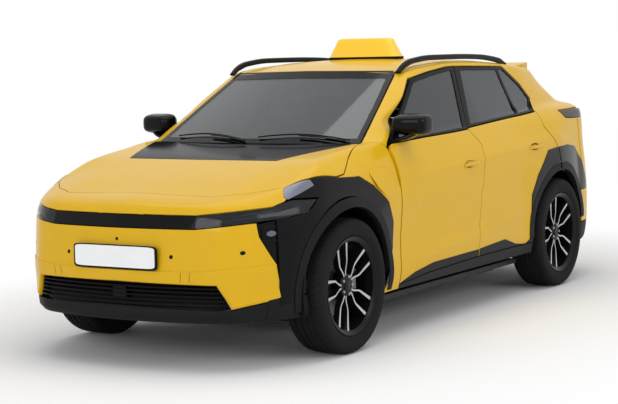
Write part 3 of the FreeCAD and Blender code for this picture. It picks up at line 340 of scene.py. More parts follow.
def read(field, us, vs, u, v):
    """Value of a field at (u, v), between its four nearest grid points."""
    a = np.clip((u - us[0]) / (us[1] - us[0]), 0, len(us) - 1.001)
    b = np.clip((v - vs[0]) / (vs[1] - vs[0]), 0, len(vs) - 1.001)
    i, j = a.astype(int), b.astype(int)
    a, b = a - i, b - j
    return ((field[i, j] * (1 - b) + field[i, j + 1] * b) * (1 - a)
            + (field[i + 1, j] * (1 - b) + field[i + 1, j + 1] * b) * a)


def inside(x, y, z):
    """True within the body: below its top, between nose and tail and nearer the middle than its side."""
    return ((x < read(side_field, ZS, YS, z, y)) & (z < read(cap_field, YS, XS, y, x))
            & (y > read(front_field, ZS, XS, z, x)) & (y < read(back_field, ZS, XS, z, x)))


print("fields", side_field.shape, front_field.shape, back_field.shape, cap_field.shape)

# %% [markdown]
# A shoulder that turns from side to roof is steep in either view. Real body drawings therefore also have cross
# sections. Rays from the middle of each section find its skin by halving, and the length along the section
# then serves as the second coordinate, so that one panel can wrap from the sill to the roof.

# %% Sections
RUN = np.arange(-700, 2000, 5.0)
RAYS, HALVINGS, FAR = 420, 14, 2600
WAIST, PATH_STEP = 700, 40
SECTION_NUDGE, FIELD_NUDGE = 5, 6


def unroll(p, q, start):
    """Section lines as tables over their own length, which is 0 where the second coordinate passes start."""
    run = np.hstack([np.zeros((len(p), 1)), np.cumsum(np.hypot(np.diff(p), np.diff(q)), axis=1)])
    zero_at = np.take_along_axis(run, np.argmax(q >= start, axis=1)[:, None], 1)
    tables = [np.array([np.interp(RUN, s, v) for s, v in zip(run - zero_at, values)]) for values in (p, q)]
    return [blur(blur(table, 2.8, 1), 1.0, 0) for table in tables]


def rays(stations, first, last, start, place):
    """Sections by halving along rays between two angles; place turns station and offsets along a ray into x, y, z."""
    angle = np.radians(np.linspace(first, last, RAYS))[None, :]
    station = stations[:, None] + 0 * angle
    near, far = 0 * station, 0 * station + FAR
    for _ in range(HALVINGS):
        r = (near + far) / 2
        held = inside(*place(station, r * np.cos(angle), r * np.sin(angle)))
        near, far = np.where(held, r, near), np.where(held, far, r)
    x, y, z = place(station, near * np.cos(angle), near * np.sin(angle))
    return unroll(x if start[0] == "x" else y, z, start[1])


SIDE, NOSE, TAIL, TOP, SCREEN, OVER, FORE, AFT, WRAP = range(9)
SECTIONS = {
    OVER: (YS, rays(YS, -32, 90, ("x", WAIST), lambda s, a, b: (a, s, WAIST + b))),
    FORE: (XS, rays(XS, -30, 130, ("y", 700), lambda s, a, b: (s, -1500 - a, 600 + b))),
    AFT: (XS, rays(XS, -25, 98, ("y", 900), lambda s, a, b: (s, 1500 + a, 800 + b))),
    WRAP: (ZS, unroll(low_x, low_y, AXLE))}
top_x_rows, top_z_rows = SECTIONS[OVER][1]
top_field = np.array([np.interp(-XS, -x[k:], z[k:]) for x, z, k in
                      zip(top_x_rows, top_z_rows, np.argmax(top_x_rows, axis=1))])


def station_of(stations, place):
    """Sections across the car are kept for the left half alone, so the right half reads them at |x|."""
    return np.abs(place) if stations[0] == 0 else place


def path(view, points, by_height=True):
    """Open line of (station, value) with points in between, as (station, length): by height, or by distance out."""
    points = np.asarray(points, float)
    gap = np.hypot(*np.diff(points, axis=0).T)
    counts = np.maximum(np.ceil(gap / PATH_STEP).astype(int), 1)
    t = np.concatenate([np.arange(n) / n for n in counts] + [[0]])
    start = np.vstack([np.repeat(points[:-1], counts, 0), points[-1:]])
    way = np.vstack([np.repeat(np.diff(points, axis=0), counts, 0), [(0, 0)]])
    stations, (ps, qs) = SECTIONS[view]
    line = []
    for place, value in start + way * t[:, None]:
        p, q = (read(table, stations, RUN, station_of(stations, place) + 0 * RUN, RUN) for table in (ps, qs))
        if by_height:
            line.append((place, np.interp(value, np.maximum.accumulate(q), RUN)))
        else:
            first = int(np.argmax(np.abs(p)))
            line.append((place, np.interp(-abs(value), np.maximum.accumulate(-np.abs(p[first:])), RUN[first:])))
    return [(float(a), float(b)) for a, b in line]


print("sections", len(SECTIONS), "field from above", top_field.shape)

# %% [markdown]
# Every piece is drawn in a flat view and then lifted on to the body. The outward direction comes from how the
# surface rises on either side of a point, and a piece that stands proud or lies sunk is moved along it.

# %% Lifting points on to the body
def height(view, p, q):
    """Third coordinate of the body for two given ones: x over (y, z), y over (x, z) or z over (x, y)."""
    if view == SIDE:
        return read(side_field, ZS, YS, q, p)
    if view == TOP:
        return read(top_field, YS, XS, q, np.abs(p))
    return read({NOSE: front_field, TAIL: back_field, SCREEN: top_front}[view], ZS, XS, q, np.abs(p))


def on_section(view, p, q):
    """Points of the body from a station and a length along its section."""
    stations, (ps, qs) = SECTIONS[view]
    a, b = (read(table, stations, RUN, station_of(stations, p), q) for table in (ps, qs))
    return np.stack({OVER: (a, p, b), WRAP: (a, b, p)}.get(view, (p, a, b)), 1)


def lift(view, p, q, out=0.0):
    """Points and outward normals of the body over (p, q); out moves them along the normal."""
    if view in SECTIONS:
        point = on_section(view, p, q)
        along_p = on_section(view, p + SECTION_NUDGE, q) - on_section(view, p - SECTION_NUDGE, q)
        along_q = on_section(view, p, q + SECTION_NUDGE) - on_section(view, p, q - SECTION_NUDGE)
        normal = np.cross(along_p, along_q)
        normal *= np.sign((normal * (point - (0, 0, WAIST))).sum(1).sum())
        normal /= np.linalg.norm(normal, axis=1)[:, None] + 1e-9
        return point + normal * out, normal
    h = height(view, p, q)
    dp = (height(view, p + FIELD_NUDGE, q) - height(view, p - FIELD_NUDGE, q)) / (2 * FIELD_NUDGE)
    dq = (height(view, p, q + FIELD_NUDGE) - height(view, p, q - FIELD_NUDGE)) / (2 * FIELD_NUDGE)
    one = np.ones_like(h)
    if view == SIDE:
        point, normal = (h, p, q), (one, -dp, -dq)
    elif view == TAIL:
        point, normal = (p, h, q), (-dp, one, -dq)
    elif view in (NOSE, SCREEN):
        point, normal = (p, h, q), (dp, -one, dq)
    else:
        point, normal = (p, q, h), (-dp, -dq, one)
    point, normal = np.stack(point, 1), np.stack(normal, 1)
    normal /= np.linalg.norm(normal, axis=1)[:, None]
    return point + normal * out, normal


print("lifting ready")

# %% [markdown]
# A mesh becomes a piece by riding on a body of the model, so that it moves with its joint. An outline becomes a
# surface by triangles over an even grid inside it. Even triangles keep reflections calm, where long thin ones
# would show as streaks in the paint.

# %% Pieces and grids
def mesh_object(name, points, faces, body, material, normals=None):
    """A closed piece from points in millimetres; its origin stays at the frame's origin."""
    mesh = bpy.data.meshes.new(name)
    mesh.from_pydata((np.asarray(points) * 0.001).tolist(), [], faces)
    mesh.polygons.foreach_set("use_smooth", np.full(len(mesh.polygons), True))
    if normals is not None:
        mesh.normals_split_custom_set_from_vertices(np.asarray(normals).tolist())
    made = bpy.data.objects.new(name, mesh)
    bpy.context.scene.collection.objects.link(made)
    for item in material if isinstance(material, (list, tuple)) else [material]:
        mesh.materials.append(item)
    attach(made, body)
    return made


def stand_for(made, replaces):
    """Hides the model's pieces that this one replaces."""
    if replaces:
        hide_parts(*replaces)
    return made


def densify(line, step):
    """Closed line with points no further apart than step; its corners stay."""
    line = np.asarray(line, float)
    ends = np.roll(line, -1, 0)
    gap = np.hypot(*(ends - line).T)
    counts = np.maximum(np.ceil(gap / step).astype(int), 1)
    t = np.concatenate([np.arange(n) / n for n in counts])
    return np.repeat(line, counts, 0) + np.repeat(ends - line, counts, 0) * t[:, None]


def rims(line):
    """Unit outward normals at the corners of a closed line, lengthened a little at sharp ones."""
    before, after = line - np.roll(line, 1, 0), np.roll(line, -1, 0) - line
    before /= np.hypot(*before.T)[:, None] + 1e-9
    after /= np.hypot(*after.T)[:, None] + 1e-9
    across = before + after
    size = np.hypot(*across.T)[:, None]
    across = np.where(size < 0.3, before, across / np.maximum(size, 1e-9))
    out = np.stack([across[:, 1], -across[:, 0]], 1)
    area = (line[:, 0] * np.roll(line[:, 1], -1) - np.roll(line[:, 0], -1) * line[:, 1]).sum()
    return out * np.sign(area) / np.clip(size / 2, 0.6, 1)


def within(points, loops):
    """True for points inside the loops: an upward ray crosses the edges an odd number of times."""
    inside = np.zeros(len(points), bool)
    for loop in loops:
        a, b = loop, np.roll(loop, -1, 0)
        x, y = points[:, 0][:, None], points[:, 1][:, None]
        spans = (a[:, 1] > y) != (b[:, 1] > y)
        at = a[:, 0] + (y - a[:, 1]) * (b[:, 0] - a[:, 0]) / np.where(b[:, 1] == a[:, 1], 1e-9, b[:, 1] - a[:, 1])
        inside ^= (spans & (x < at)).sum(1) % 2 == 1
    return inside


def fill(loops, step):
    """Triangles over the space between the loops, on an even grid kept a little off the edges."""
    edge = np.vstack(loops)
    low_corner, high_corner = edge.min(0), edge.max(0)
    u, v = np.meshgrid(np.arange(low_corner[0], high_corner[0], step), np.arange(low_corner[1], high_corner[1], step))
    grid = np.stack([u.ravel(), v.ravel()], 1)
    grid = grid[within(grid, loops)]
    near = np.array([np.min(np.hypot(*(edge - block[:, None]).transpose(2, 0, 1)), axis=1).tolist()
                     for block in np.array_split(grid, max(len(grid) // 400, 1)) if len(block)], dtype=object)
    if len(near):
        grid = grid[np.concatenate(near).astype(float) > 0.45 * step]
    links, start = [], 0
    for loop in loops:
        links += [(start + i, start + (i + 1) % len(loop)) for i in range(len(loop))]
        start += len(loop)
    points, _, faces, _, _, _ = delaunay_2d_cdt(np.vstack([edge, grid]).tolist(), links, [], 0, 1e-5)
    points = np.array([tuple(p) for p in points])
    faces = np.array([f for f in faces if len(f) == 3])
    faces = faces[within(points[faces].mean(1), loops)]
    return points, faces


print("grids ready")

# %% [markdown]
# One panel maker serves the whole body. It fills an outline with an even grid of points, lifts them on to the
# body, rolls the rim over by a small radius and takes it inwards by the thickness, then closes the back. Real
# pressings have that rolled hem, and it is the hem that makes a shut line read as a gap and not as a drawn line.

# %% Panel maker
def panel(name, view, line, body, material, depth=12.0, out=0.0, roll=2.0, step=24.0, holes=(), flip=False,
          gap=0.0, replaces=(), slot=None, edge_step=None):
    """Curved panel over an outline in one view; flip makes the other side's, gap draws the rim in."""
    loops, outs = [], []
    for index, loop in enumerate([line, *holes]):
        loop = densify(loop, edge_step or step * 0.7)
        out_way = rims(loop) * (1 if index == 0 else -1)
        loops.append(loop - out_way * (gap + roll))
        outs.append(out_way)
    points, faces = fill(loops, step)
    count = len(points)
    skin, normal = lift(view, points[:, 0], points[:, 1], out)
    chord = np.cross(skin[faces[:, 1]] - skin[faces[:, 0]], skin[faces[:, 2]] - skin[faces[:, 0]])
    if (chord * normal[faces[:, 0]]).sum() < 0:
        faces = faces[:, ::-1]
    cloud, shade, quads = [skin, skin - normal * depth], [normal, -normal], [faces, faces[:, ::-1] + count]
    base = 2 * count
    for loop, out_way in zip(loops, outs):
        n = len(loop)
        near = np.argmin(((points[None, :, :] - loop[:, None, :]) ** 2).sum(2), axis=1)
        edge, edge_normal = skin[near], normal[near]
        probe, _ = lift(view, loop[:, 0] + out_way[:, 0], loop[:, 1] + out_way[:, 1], out)
        sideways = probe - edge
        sideways -= edge_normal * (sideways * edge_normal).sum(1)[:, None]
        sideways /= np.linalg.norm(sideways, axis=1)[:, None] + 1e-9
        rings = []
        for turn in (0, 0.6, 1.1, math.pi / 2):
            rings.append(edge + sideways * roll * math.sin(turn) - edge_normal * roll * (1 - math.cos(turn)))
            shade.append(edge_normal * math.cos(turn) + sideways * math.sin(turn))
        rings.append(edge + sideways * roll - edge_normal * depth)
        shade.append(sideways)
        cloud += rings
        i, j = np.arange(n), (np.arange(n) + 1) % n
        strips = [(base + k * n, base + (k + 1) * n) for k in range(4)]
        made = [np.stack([lo + i, lo + j, hi + j, hi + i], 1) for lo, hi in strips]
        made.append(np.stack([base + 4 * n + i, base + 4 * n + j, count + near[j], count + near[i]], 1))
        made = np.vstack(made)
        spot = np.vstack(cloud)
        test = np.cross(spot[made[:n, 1]] - spot[made[:n, 0]], spot[made[:n, 2]] - spot[made[:n, 0]])
        if (test * edge_normal).sum() < 0:
            made = made[:, ::-1]
        quads.append(made)
        base += 5 * n
    cloud, shade = np.vstack(cloud), np.vstack(shade)
    faces = [f for group in quads for f in (group[:, ::-1] if flip else group).tolist()]
    if flip:
        cloud, shade = cloud * (-1, 1, 1), shade * (-1, 1, 1)
    made = mesh_object(name, cloud, faces, body, [material, TRIM] if material == PAINT else material, shade)
    if material == PAINT:
        behind = np.zeros(len(faces), np.int32)
        behind[len(quads[0]):2 * len(quads[0])] = 1
        made.data.polygons.foreach_set("material_index", behind)
    return stand_for(made, replaces)


SIDES = (("left", False), ("right", True))


def pair(name, view, line, body, material, replaces=(), **more):
    """The same panel on the left and on the right; {} in body and node names stands for the side."""
    for side, flip in SIDES:
        names = [n.format(side) for n in replaces if "{}" in n or side == "left"]
        panel(name + "_" + side, view, line, body.format(side), material, flip=flip, replaces=names, **more)


print("panel maker ready")

# %% [markdown]
# The doors' outlines are the shut lines. The sheet metal of a door ends at the belt, and above it stands a thin
# black frame round the window. The glass lies a few millimetres inside that frame, so that the frame casts
# its own thin edge, and a bar divides the small fixed pane from the one that winds down.

# %% Doors and their glass
def ring(radius, first, last, y=-AXLE, count=26):
    """Points on an arch round a wheel, from one angle to another, in degrees."""
    a = np.radians(np.linspace(first, last, count))
    return [(float(y + radius * math.cos(t)), float(HUB + radius * math.sin(t))) for t in a]


ARCH_SPLIT, ARCH_END = 92.88, math.degrees(0.1)
ARCH_LINE = ring(ARCH, 180, ARCH_SPLIT, AXLE, 22)
SHUT = [(326, 1532), (188, 1150), (190, 1135), (277, 1043), (262, 974), (220, 670), (175, 347)]
BELT_FRONT = [(190, 1143), (-21, 1135), (-400, 1126), (-842, 1112)]
BELT_REAR = [(1277, 1209), (1016, 1192), (600, 1172), (253, 1154)]
# Each door's sheet metal, window frame, pane, and bar between the panes
DOORS = {
    "front": ([(-866, 1077), (-835, 765), (-837, 302), (-500, 328)] + SHUT[:1:-1] + BELT_FRONT,
              [(-842, 1112), (-300, 1470), (-60, 1502), (220, 1530), SHUT[0]] + BELT_FRONT[:3],
              [(-740, 1134), (-285, 1440), (-50, 1473), (220, 1501), (262, 1503), (136, 1162), (-21, 1156)],
              [(-606, 1226), (-574, 1248), (-604, 1150), (-640, 1150)]),
    "rear": (SHUT[1:] + [(995, 347)] + ARCH_LINE + [(1404, 940), (1377, 988), (1262, 1110)] + BELT_REAR,
             [SHUT[0], (1062, 1519), (1265, 1396), (1358, 1297)] + BELT_REAR + [SHUT[1]],
             [(398, 1504), (1052, 1493), (1236, 1382), (1318, 1294), (1250, 1226), (1010, 1212), (600, 1192),
              (262, 1176)],
             [(948, 1500), (982, 1500), (1044, 1208), (1008, 1208)])}
SHEET, FRAME, PANE, BAR = range(4)
for part, name, material, stands_for, more in (
        (SHEET, "door_%s_skin", PAINT, ["door_%s_{}"], {"depth": 24, "gap": 2.6, "step": 20, "slot": "yellow_paint"}),
        (FRAME, "window_frame_%s", SATIN, [], {"depth": 24, "out": 1, "gap": 4, "roll": 1.5, "slot": "gloss_black"}),
        (PANE, "window_%s", GLASS, ["glass_%s_{}"],
         {"depth": 4, "out": -4, "gap": -4, "roll": 0.5, "slot": "tinted_glass"}),
        (BAR, "pane_bar_%s", SATIN, [], {"depth": 6, "out": -0.5, "roll": 1})):
    for end, lines in DOORS.items():
        pair(name % end, SIDE, lines[part], "door_%s_{}_leaf" % end, material, [n % end for n in stands_for],
             holes=[lines[PANE]] if part == FRAME else (), **{"step": 30, **more})

# %% [markdown]
# The fixed body behind the doors is one large pressing: pillar, cant rail, quarter panel and rear haunch. It
# is drawn as one outline round the door openings. Behind it a dark inner frame closes the view through the
# gaps, as the real door frame with its rubber seals does.

# %% Fixed sides
def screen_line(points):
    """Points (x, z) on the windscreen as (y, x)."""
    x, z = np.asarray(points, float).T
    return [(float(y), float(p)) for y, p in zip(height(SCREEN, x, z), x)]


PILLAR_FOOT = screen_line([(714, 1116)])
SCREEN_SIDE = screen_line(np.stack([np.linspace(581, 714, 14), np.linspace(1506, 1116, 14)], 1))
ARCH_REAR = ring(ARCH, ARCH_SPLIT, ARCH_END, AXLE, 22)
REAR_SHUT, ROOF_SHUT, SEAM_Y = 578, 600, 1900
UPPER_EDGE = [(-872, 1090), (-846, 1116), (-300, 1474), (-60, 1506), (220, 1534), (326, 1536), (1062, 1523),
              (1268, 1399), (1362, 1297), (1281, 1209), (1266, 1112), (1381, 990), (1408, 940), (1408, 804)]
UPPER_SIDE = (path(OVER, UPPER_EDGE + ARCH_REAR + [(1862, 636), (SEAM_Y + 3, 636), (SEAM_Y + 3, 1138), (1652, 1150),
                   (1604, 1204), (1910, 1211), (2100, 1207), (2186, 1203)])
              + path(OVER, [(2186, REAR_SHUT), (1470, REAR_SHUT), (1464, ROOF_SHUT), (-200, ROOF_SHUT), (-318, 585)]
                     + SCREEN_SIDE, by_height=False))
pair("side_panel", OVER, UPPER_SIDE, "body", PAINT, ["body_side_{}"], depth=16, gap=2.6, step=18, slot="yellow_paint")
REAR_CORNER = (path(WRAP, [(1138, SEAM_Y - 3), (636, SEAM_Y - 3), (636, 2250)])
               + path(WRAP, [(636, 640), (636, 544), (698, REAR_SHUT), (1128, REAR_SHUT), (1124, 640)], by_height=False)
               + path(WRAP, [(1119, 2226)]))
pair("rear_corner", WRAP, REAR_CORNER, "body", PAINT, depth=16, gap=2.6, step=18, slot="yellow_paint")
INNER = (path(OVER, [(-872, 1077), (-866, 300), (1000, 300)] + ARCH_LINE + [(1404, 840), (1850, 760), (1880, 1200)])
         + path(OVER, [(1880, 560), (1470, 560), (1464, 580), (-200, 580), (-318, 562)]
                + screen_line(np.stack([np.linspace(561, 694, 8), np.linspace(1506, 1116, 8)], 1)), by_height=False))
HOLES = [[(-838, 1075), (-806, 765), (-808, 335), (-500, 358), (148, 376), (190, 670), (232, 974), (245, 1040),
          (160, 1130), (158, 1150), (285, 1500), (220, 1500), (-55, 1470), (-285, 1440), (-800, 1105)],
         [(220, 1155), (222, 1145), (307, 1050), (292, 974), (250, 670), (207, 378), (940, 378)]
         + ring(462, 176, 96, AXLE) + [(1378, 930), (1352, 975), (1232, 1105), (1248, 1215), (1322, 1294), (1245, 1375),
                                       (1050, 1488), (350, 1500)]]
HOLES = [path(OVER, hole + hole[:1])[:-1] for hole in HOLES]
pair("inner_frame", OVER, INNER, "body", TRIM, out=-32, step=36, holes=HOLES)
pair("sill", SIDE, [(-843, 299), (-843, 275), (996, 275), (996, 344), (175, 344), (-500, 325)], "body", GREY_TRIM,
     depth=30, gap=1.5, step=24, slot="textured_black")
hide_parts("sill_trims")

# %% [markdown]
# The front wing wears a black cladding from the headlamp to behind the wheel, with a grained lip round the
# arch. They are separate mouldings on the real body, so here they are separate panels on the same surface.

# %% Wings, claddings, arches
BONNET_HALF = [(0, -2118), (250, -2116), (492, -2106), (640, -2010), (760, -1872), (812, -1700), (852, -1481),
               (852, -1400), (800, -1260), (752, -1100), (724, -1012), (560, -1052), (300, -1090), (0, -1104)]
CLAD_EDGE = [(-1470, 951), (-1266, 956), (-1134, 894), (-1006, 793), (-943, 676), (-944, 528), (-995, 398),
             (-1045, 293)]
WING = (path(OVER, [(-1481, 852), (-1400, 852), (-1260, 800), (-1100, 752), (-1012, 724)] + PILLAR_FOOT,
             by_height=False)
        + path(OVER, [(-872, 1090), (-866, 1077), (-841, 765), (-843, 275), (-1045, 275)] + CLAD_EDGE[::-1]))
FLAP = [(-1152, 962), (-1126, 988), (-972, 980), (-912, 902), (-909, 784), (-985, 806), (-1102, 886)]
lamp_end = [(float(height(NOSE, np.array([float(x)]), np.array([float(z)]))[0]), z)
            for x, z in ((815, 787), (864, 804), (864, 876), (812, 884))]
CLADDING = (path(OVER, [(-2003, 330), (-2003, 786)] + lamp_end)
            + path(OVER, [(-1872, 760), (-1700, 812), (-1484, 852)], by_height=False)
            + path(OVER, CLAD_EDGE[1:] + ring(LIP_RADIUS, 3, 183)))
LIP = ring(LIP_RADIUS, 190, -10) + ring(ARCH, -11, 191)
pair("wing", OVER, WING, "body", PAINT, ["fenders"], depth=18, gap=2.4, step=18, slot="yellow_paint")
pair("cladding", OVER, CLADDING, "body", PIANO, ["claddings"], depth=18, out=2, gap=1.2, step=16, slot="gloss_black")
pair("arch_lip", SIDE, LIP, "body", GRAINED, depth=30, out=5, gap=0.5, roll=4, step=14, slot="textured_black")
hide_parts("arch_lips")
REAR_TRIM_OUT = [(973, 667), (1047, 793), (1236, 950), (1400, 962)]
DOOR_TRIM = [(996, 400), (973, 540)] + REAR_TRIM_OUT + [(1400, 857)] + ring(LIP_RADIUS, 93, 176, AXLE)
QUARTER_TRIM = ([(1408, 962), (1586, 967), (1761, 947), (1887, 830), (1964, 693), (1985, 634)]
                + ring(LIP_RADIUS, 33, 92, AXLE))
pair("arch_trim_door", SIDE, DOOR_TRIM, "door_rear_{}_leaf", PIANO, depth=8, out=5, roll=3, gap=0.5, step=18,
     slot="gloss_black")
pair("arch_trim_body", SIDE, QUARTER_TRIM, "body", PIANO, depth=8, out=5, roll=3, gap=0.5, step=18, slot="gloss_black")
pair("arch_lip_door", SIDE, ring(LIP_RADIUS, 94, 180, AXLE) + ring(ARCH + 1, 180, 94, AXLE), "door_rear_{}_leaf",
     GRAINED, depth=14, out=6, roll=3, gap=1, step=14, slot="textured_black")
pair("arch_lip_body", SIDE, ring(ARCH + 1, 92, 8, AXLE) + ring(LIP_RADIUS, 8, 92, AXLE), "body", GRAINED, depth=30,
     out=6, roll=3, gap=1, step=14, slot="textured_black")
for end, line in (
        ("front", [(-832, 304), (-500, 330), (174, 349), (181, 394), (-442, 386), (-664, 356), (-832, 312)]),
        ("rear", [(184, 349), (990, 349), (985, 396), (880, 350), (728, 368), (561, 415), (190, 396)])):
    pair("door_%s_trim" % end, SIDE, line, "door_%s_{}_leaf" % end, GREY_TRIM, depth=6, out=4, roll=2, gap=2, step=20,
         slot="textured_black")
pair("flap_ring", SIDE, FLAP, "body", PAINT, depth=5, out=0.4, gap=-5, roll=1, step=20, holes=[FLAP])
panel("charge_flap_skin", SIDE, FLAP, "charge_door", PAINT, depth=6, out=0.6, gap=1.5, roll=1.5, step=16,
      replaces=["charge_flap"], slot="yellow_paint")

# %% [markdown]
# The bonnet is one skin seen from above, with a gloss black band at its rear edge. The nose below it is a
# stack of bands seen from the front: the yellow lip, the black light bar that runs out into the headlamps,
# the yellow bumper with its corner kink, the low grille and the dark skirt.

# %% Bonnet and nose
def both(half):
    """Outline from its half, which starts and ends on the middle line."""
    return list(half) + [(-x, y) for x, y in reversed(half) if x > 0]


BAND = [(0, -1537), (250, -1537), (505, -1537), (640, -1200), (700, -1036)]
SKIN = BONNET_HALF[:11] + BAND[::-1]
panel("bonnet_skin", TOP, both(SKIN), "bonnet_leaf", PAINT, depth=20, gap=2.5, step=26, replaces=["bonnet"],
      slot="yellow_paint")
panel("bonnet_band", TOP, both(BAND + [(700, -1020), (560, -1056), (300, -1092), (0, -1104)]), "bonnet_leaf",
      BAND_BLACK, depth=8, out=0.6, gap=1.2, roll=1.2, step=28, replaces=["bonnet_strip"], slot="gloss_black")
panel("bonnet_tray", TOP, both([(0, -2160), (500, -2160), (760, -1930), (830, -1700), (850, -1400), (760, -1000),
      (0, -1040)]), "body", SATIN, depth=6, out=-42, step=60)
NOSE_LIP = (path(FORE, [(0, 820), (462, 820), (775, 853), (800, 874)])
            + path(FORE, [(800, -1745), (760, -1872), (640, -2010), (492, -2106), (250, -2116), (0, -2118)],
                   by_height=False))
panel("nose_lip", FORE, both(NOSE_LIP), "body", PAINT, depth=16, gap=1.5, step=18, replaces=["nose_panel"],
      slot="yellow_paint")
panel("light_bar_face", NOSE, both([(0, 818), (462, 818), (466, 750), (0, 750)]), "body", PIANO, depth=16, out=-3,
      gap=0.8, roll=3, step=22, replaces=["light_bar"], slot="gloss_black")
LAMP = [(466, 750), (462, 818), (775, 851), (815, 880), (868, 872), (868, 806), (815, 788)]
panel("headlamp_lens_left", NOSE, LAMP, "body", LENS, depth=5, out=-2, gap=1, roll=2, step=16, replaces=["headlamps"],
      slot="lamp_lens")
panel("headlamp_lens_right", NOSE, LAMP, "body", LENS, depth=5, out=-2, gap=1, roll=2, step=16, flip=True)
pair("headlamp_housing", NOSE, LAMP, "body", PIANO, depth=6, out=-34, gap=-2, step=22)
pair("headlamp_light", NOSE, [(560, 782), (560, 790), (800, 822), (846, 862), (850, 838), (806, 806)], "body",
     LAMP_GLOW, depth=6, out=-14, gap=1, roll=2, step=12)
pair("headlamp_wedge", NOSE, [(640, 812), (780, 828), (838, 862), (800, 848), (700, 832)], "body", REFLECTOR, depth=6,
     out=-18, gap=1, roll=2, step=12)
RECESS = [(739, 766), (748, 705), (803, 556), (815, 372), (868, 380), (868, 800), (815, 786)]
BUMPER = [(0, 748), (464, 748), (739, 776), (739, 764), (748, 705), (803, 556), (815, 374), (643, 335), (580, 460),
          (0, 467)]
panel("bumper_skin", NOSE, both(BUMPER), "body", PAINT, depth=16, gap=1.5, roll=2.5, step=20, replaces=["front_bumper"],
      slot="yellow_paint")
pair("corner_recess", NOSE, RECESS, "body", PIANO, out=-12, step=20)
pair("bumper_wing", SIDE, [(-2003, 789), (-2003, 330), (-1925, 330), (-1925, 352)] + ring(LIP_RADIUS, 183, 184), "body",
     PIANO, depth=10, out=-6, step=30)
GRILLE = [(0, 465), (578, 458), (641, 335), (0, 349)]
panel("grille_back", NOSE, both(GRILLE), "body", SATIN, depth=6, out=-46, gap=-4, step=40, replaces=["lower_grille"])
for index, z in enumerate((358, 379, 400, 421, 442)):
    half = np.interp(z, (335, 458), (636, 582))
    panel("grille_slat_%d" % index, NOSE, both([(0, z + 4), (half - 6, z + 4), (half, z - 4), (0, z - 4)]), "body",
          SATIN, depth=34, out=-10, roll=1.5, step=24, slot="gloss_black")
SKIRT = [(0, 347), (643, 333), (815, 372), (868, 380), (868, 250), (0, 250)]
panel("skirt_front", NOSE, both(SKIRT), "body", GRAINED, depth=20, out=-4, gap=1, roll=6, step=30,
      replaces=["lower_skirts"], slot="textured_black")
pair("skirt_side", SIDE,
     [(-2060, 372), (-2003, 384), (-1912, 386)] + ring(LIP_RADIUS, 180, 192)[:12] + [(-1900, 262), (-2060, 256)],
     "body", GRAINED, depth=16, roll=4, step=24)
WEDGE = (path(OVER, [(-1880, 760), (-1700, 815)], by_height=False)
         + path(OVER, [(-1690, 938), (-1800, 905), (-1900, 878), (-1915, 893)]))
pair("headlamp_wing", OVER, WEDGE, "body", REFLECTOR, depth=3, out=3.4, gap=1.5, roll=1, step=14)

# %% [markdown]
# Small square recesses hold the fog lamps, and dark discs mark the parking sensors. The plate is blank white in a
# black holder. The badge's place and the roof sign are bare as well: a shared part carries no names.

# %% Nose details
def full_turn(count):
    """Angles of a full turn in equal steps."""
    return np.linspace(0, 2 * math.pi, count, endpoint=False)


def disc(name, x, z, radius, material, out=0.5, depth=4, flip=False):
    """Round piece on the nose at (x, z): the panel maker over a circle."""
    a = full_turn(20)
    panel(name, NOSE, np.stack([x + radius * np.cos(a), z + radius * np.sin(a)], 1), "body", material, depth=depth,
          out=out, roll=1, step=radius, flip=flip, edge_step=radius)


for side, flip in SIDES:
    disc("sensor_inner_" + side, 339, 606, 11, SATIN, flip=flip)
    disc("sensor_outer_" + side, 690, 626, 11, SATIN, flip=flip)
    disc("fog_lens_" + side, 786, 716, 15, LAMP_GLOW, out=-7, depth=6, flip=flip)
pair("fog_bezel", NOSE, [(752, 752), (826, 757), (822, 676), (757, 674)], "body", PIANO, depth=10, out=-3, roll=3,
     step=20, holes=[[(761, 742), (816, 747), (812, 686), (765, 684)]])
disc("camera_eye", 0, 690, 9, PIANO, out=2)
CHIN = [(0, 530), (470, 532), (640, 545), (786, 556), (798, 548), (809, 380), (648, 342), (586, 464), (0, 472)]
panel("bumper_chin", NOSE, both(CHIN), "body", PAINT, depth=8, out=6, roll=5, step=18)
for index, x in enumerate((396, 446)):
    pair("tow_line_%d" % index, NOSE, [(x, 528), (x + 2.4, 528), (x - 3.6, 476), (x - 6, 476)], "body", SATIN,
         depth=2, out=6.3, roll=0.3, step=20)

# %% [markdown]
# Roof, screen and tail finish the shell. The windscreen has a printed black border, made as a thin ring
# over the glass, because that border is what hides the glue on a real car. The spoiler has a field of its own:
# it starts with the roof's crown at the hinge and ends in two level ears.

# %% Roof, screen and tail
REAR_X = 572
panel("roof_skin", TOP, both([(0, -384), (300, -374), (560, -322), (592, -200), (592, 1462), (0, 1462)]), "body", PAINT,
      depth=18, gap=1.5, step=30, replaces=["roof_panel"], slot="yellow_paint")
pair("roof_ditch", TOP, [(586, -300), (606, -300), (606, 1462), (586, 1462)], "body", SATIN, depth=8, out=-7, roll=1,
     step=30)
GLAZING = [(0, 1120), (705, 1120), (640, 1322), (576, 1504), (560, 1522), (0, 1529)]
CLEAR = [(0, 1146), (668, 1146), (610, 1322), (552, 1478), (0, 1486)]
panel("windscreen_glass", SCREEN, both(GLAZING), "body", SCREEN_GLASS, depth=5, out=-4, roll=0.5, step=34,
      replaces=["windscreen"], slot="tinted_glass")
panel("windscreen_border", SCREEN, both(GLAZING), "body", PIANO, depth=2, out=-2.4, roll=0.5, step=30,
      holes=[both(CLEAR)])
panel("windscreen_inner", SCREEN, both([(0, 1118), (712, 1118), (584, 1504), (560, 1526), (0, 1533)]), "body", SATIN,
      depth=10, out=-12, roll=0.5, step=40, holes=[both([(0, 1140), (676, 1140), (558, 1482), (0, 1492)])])
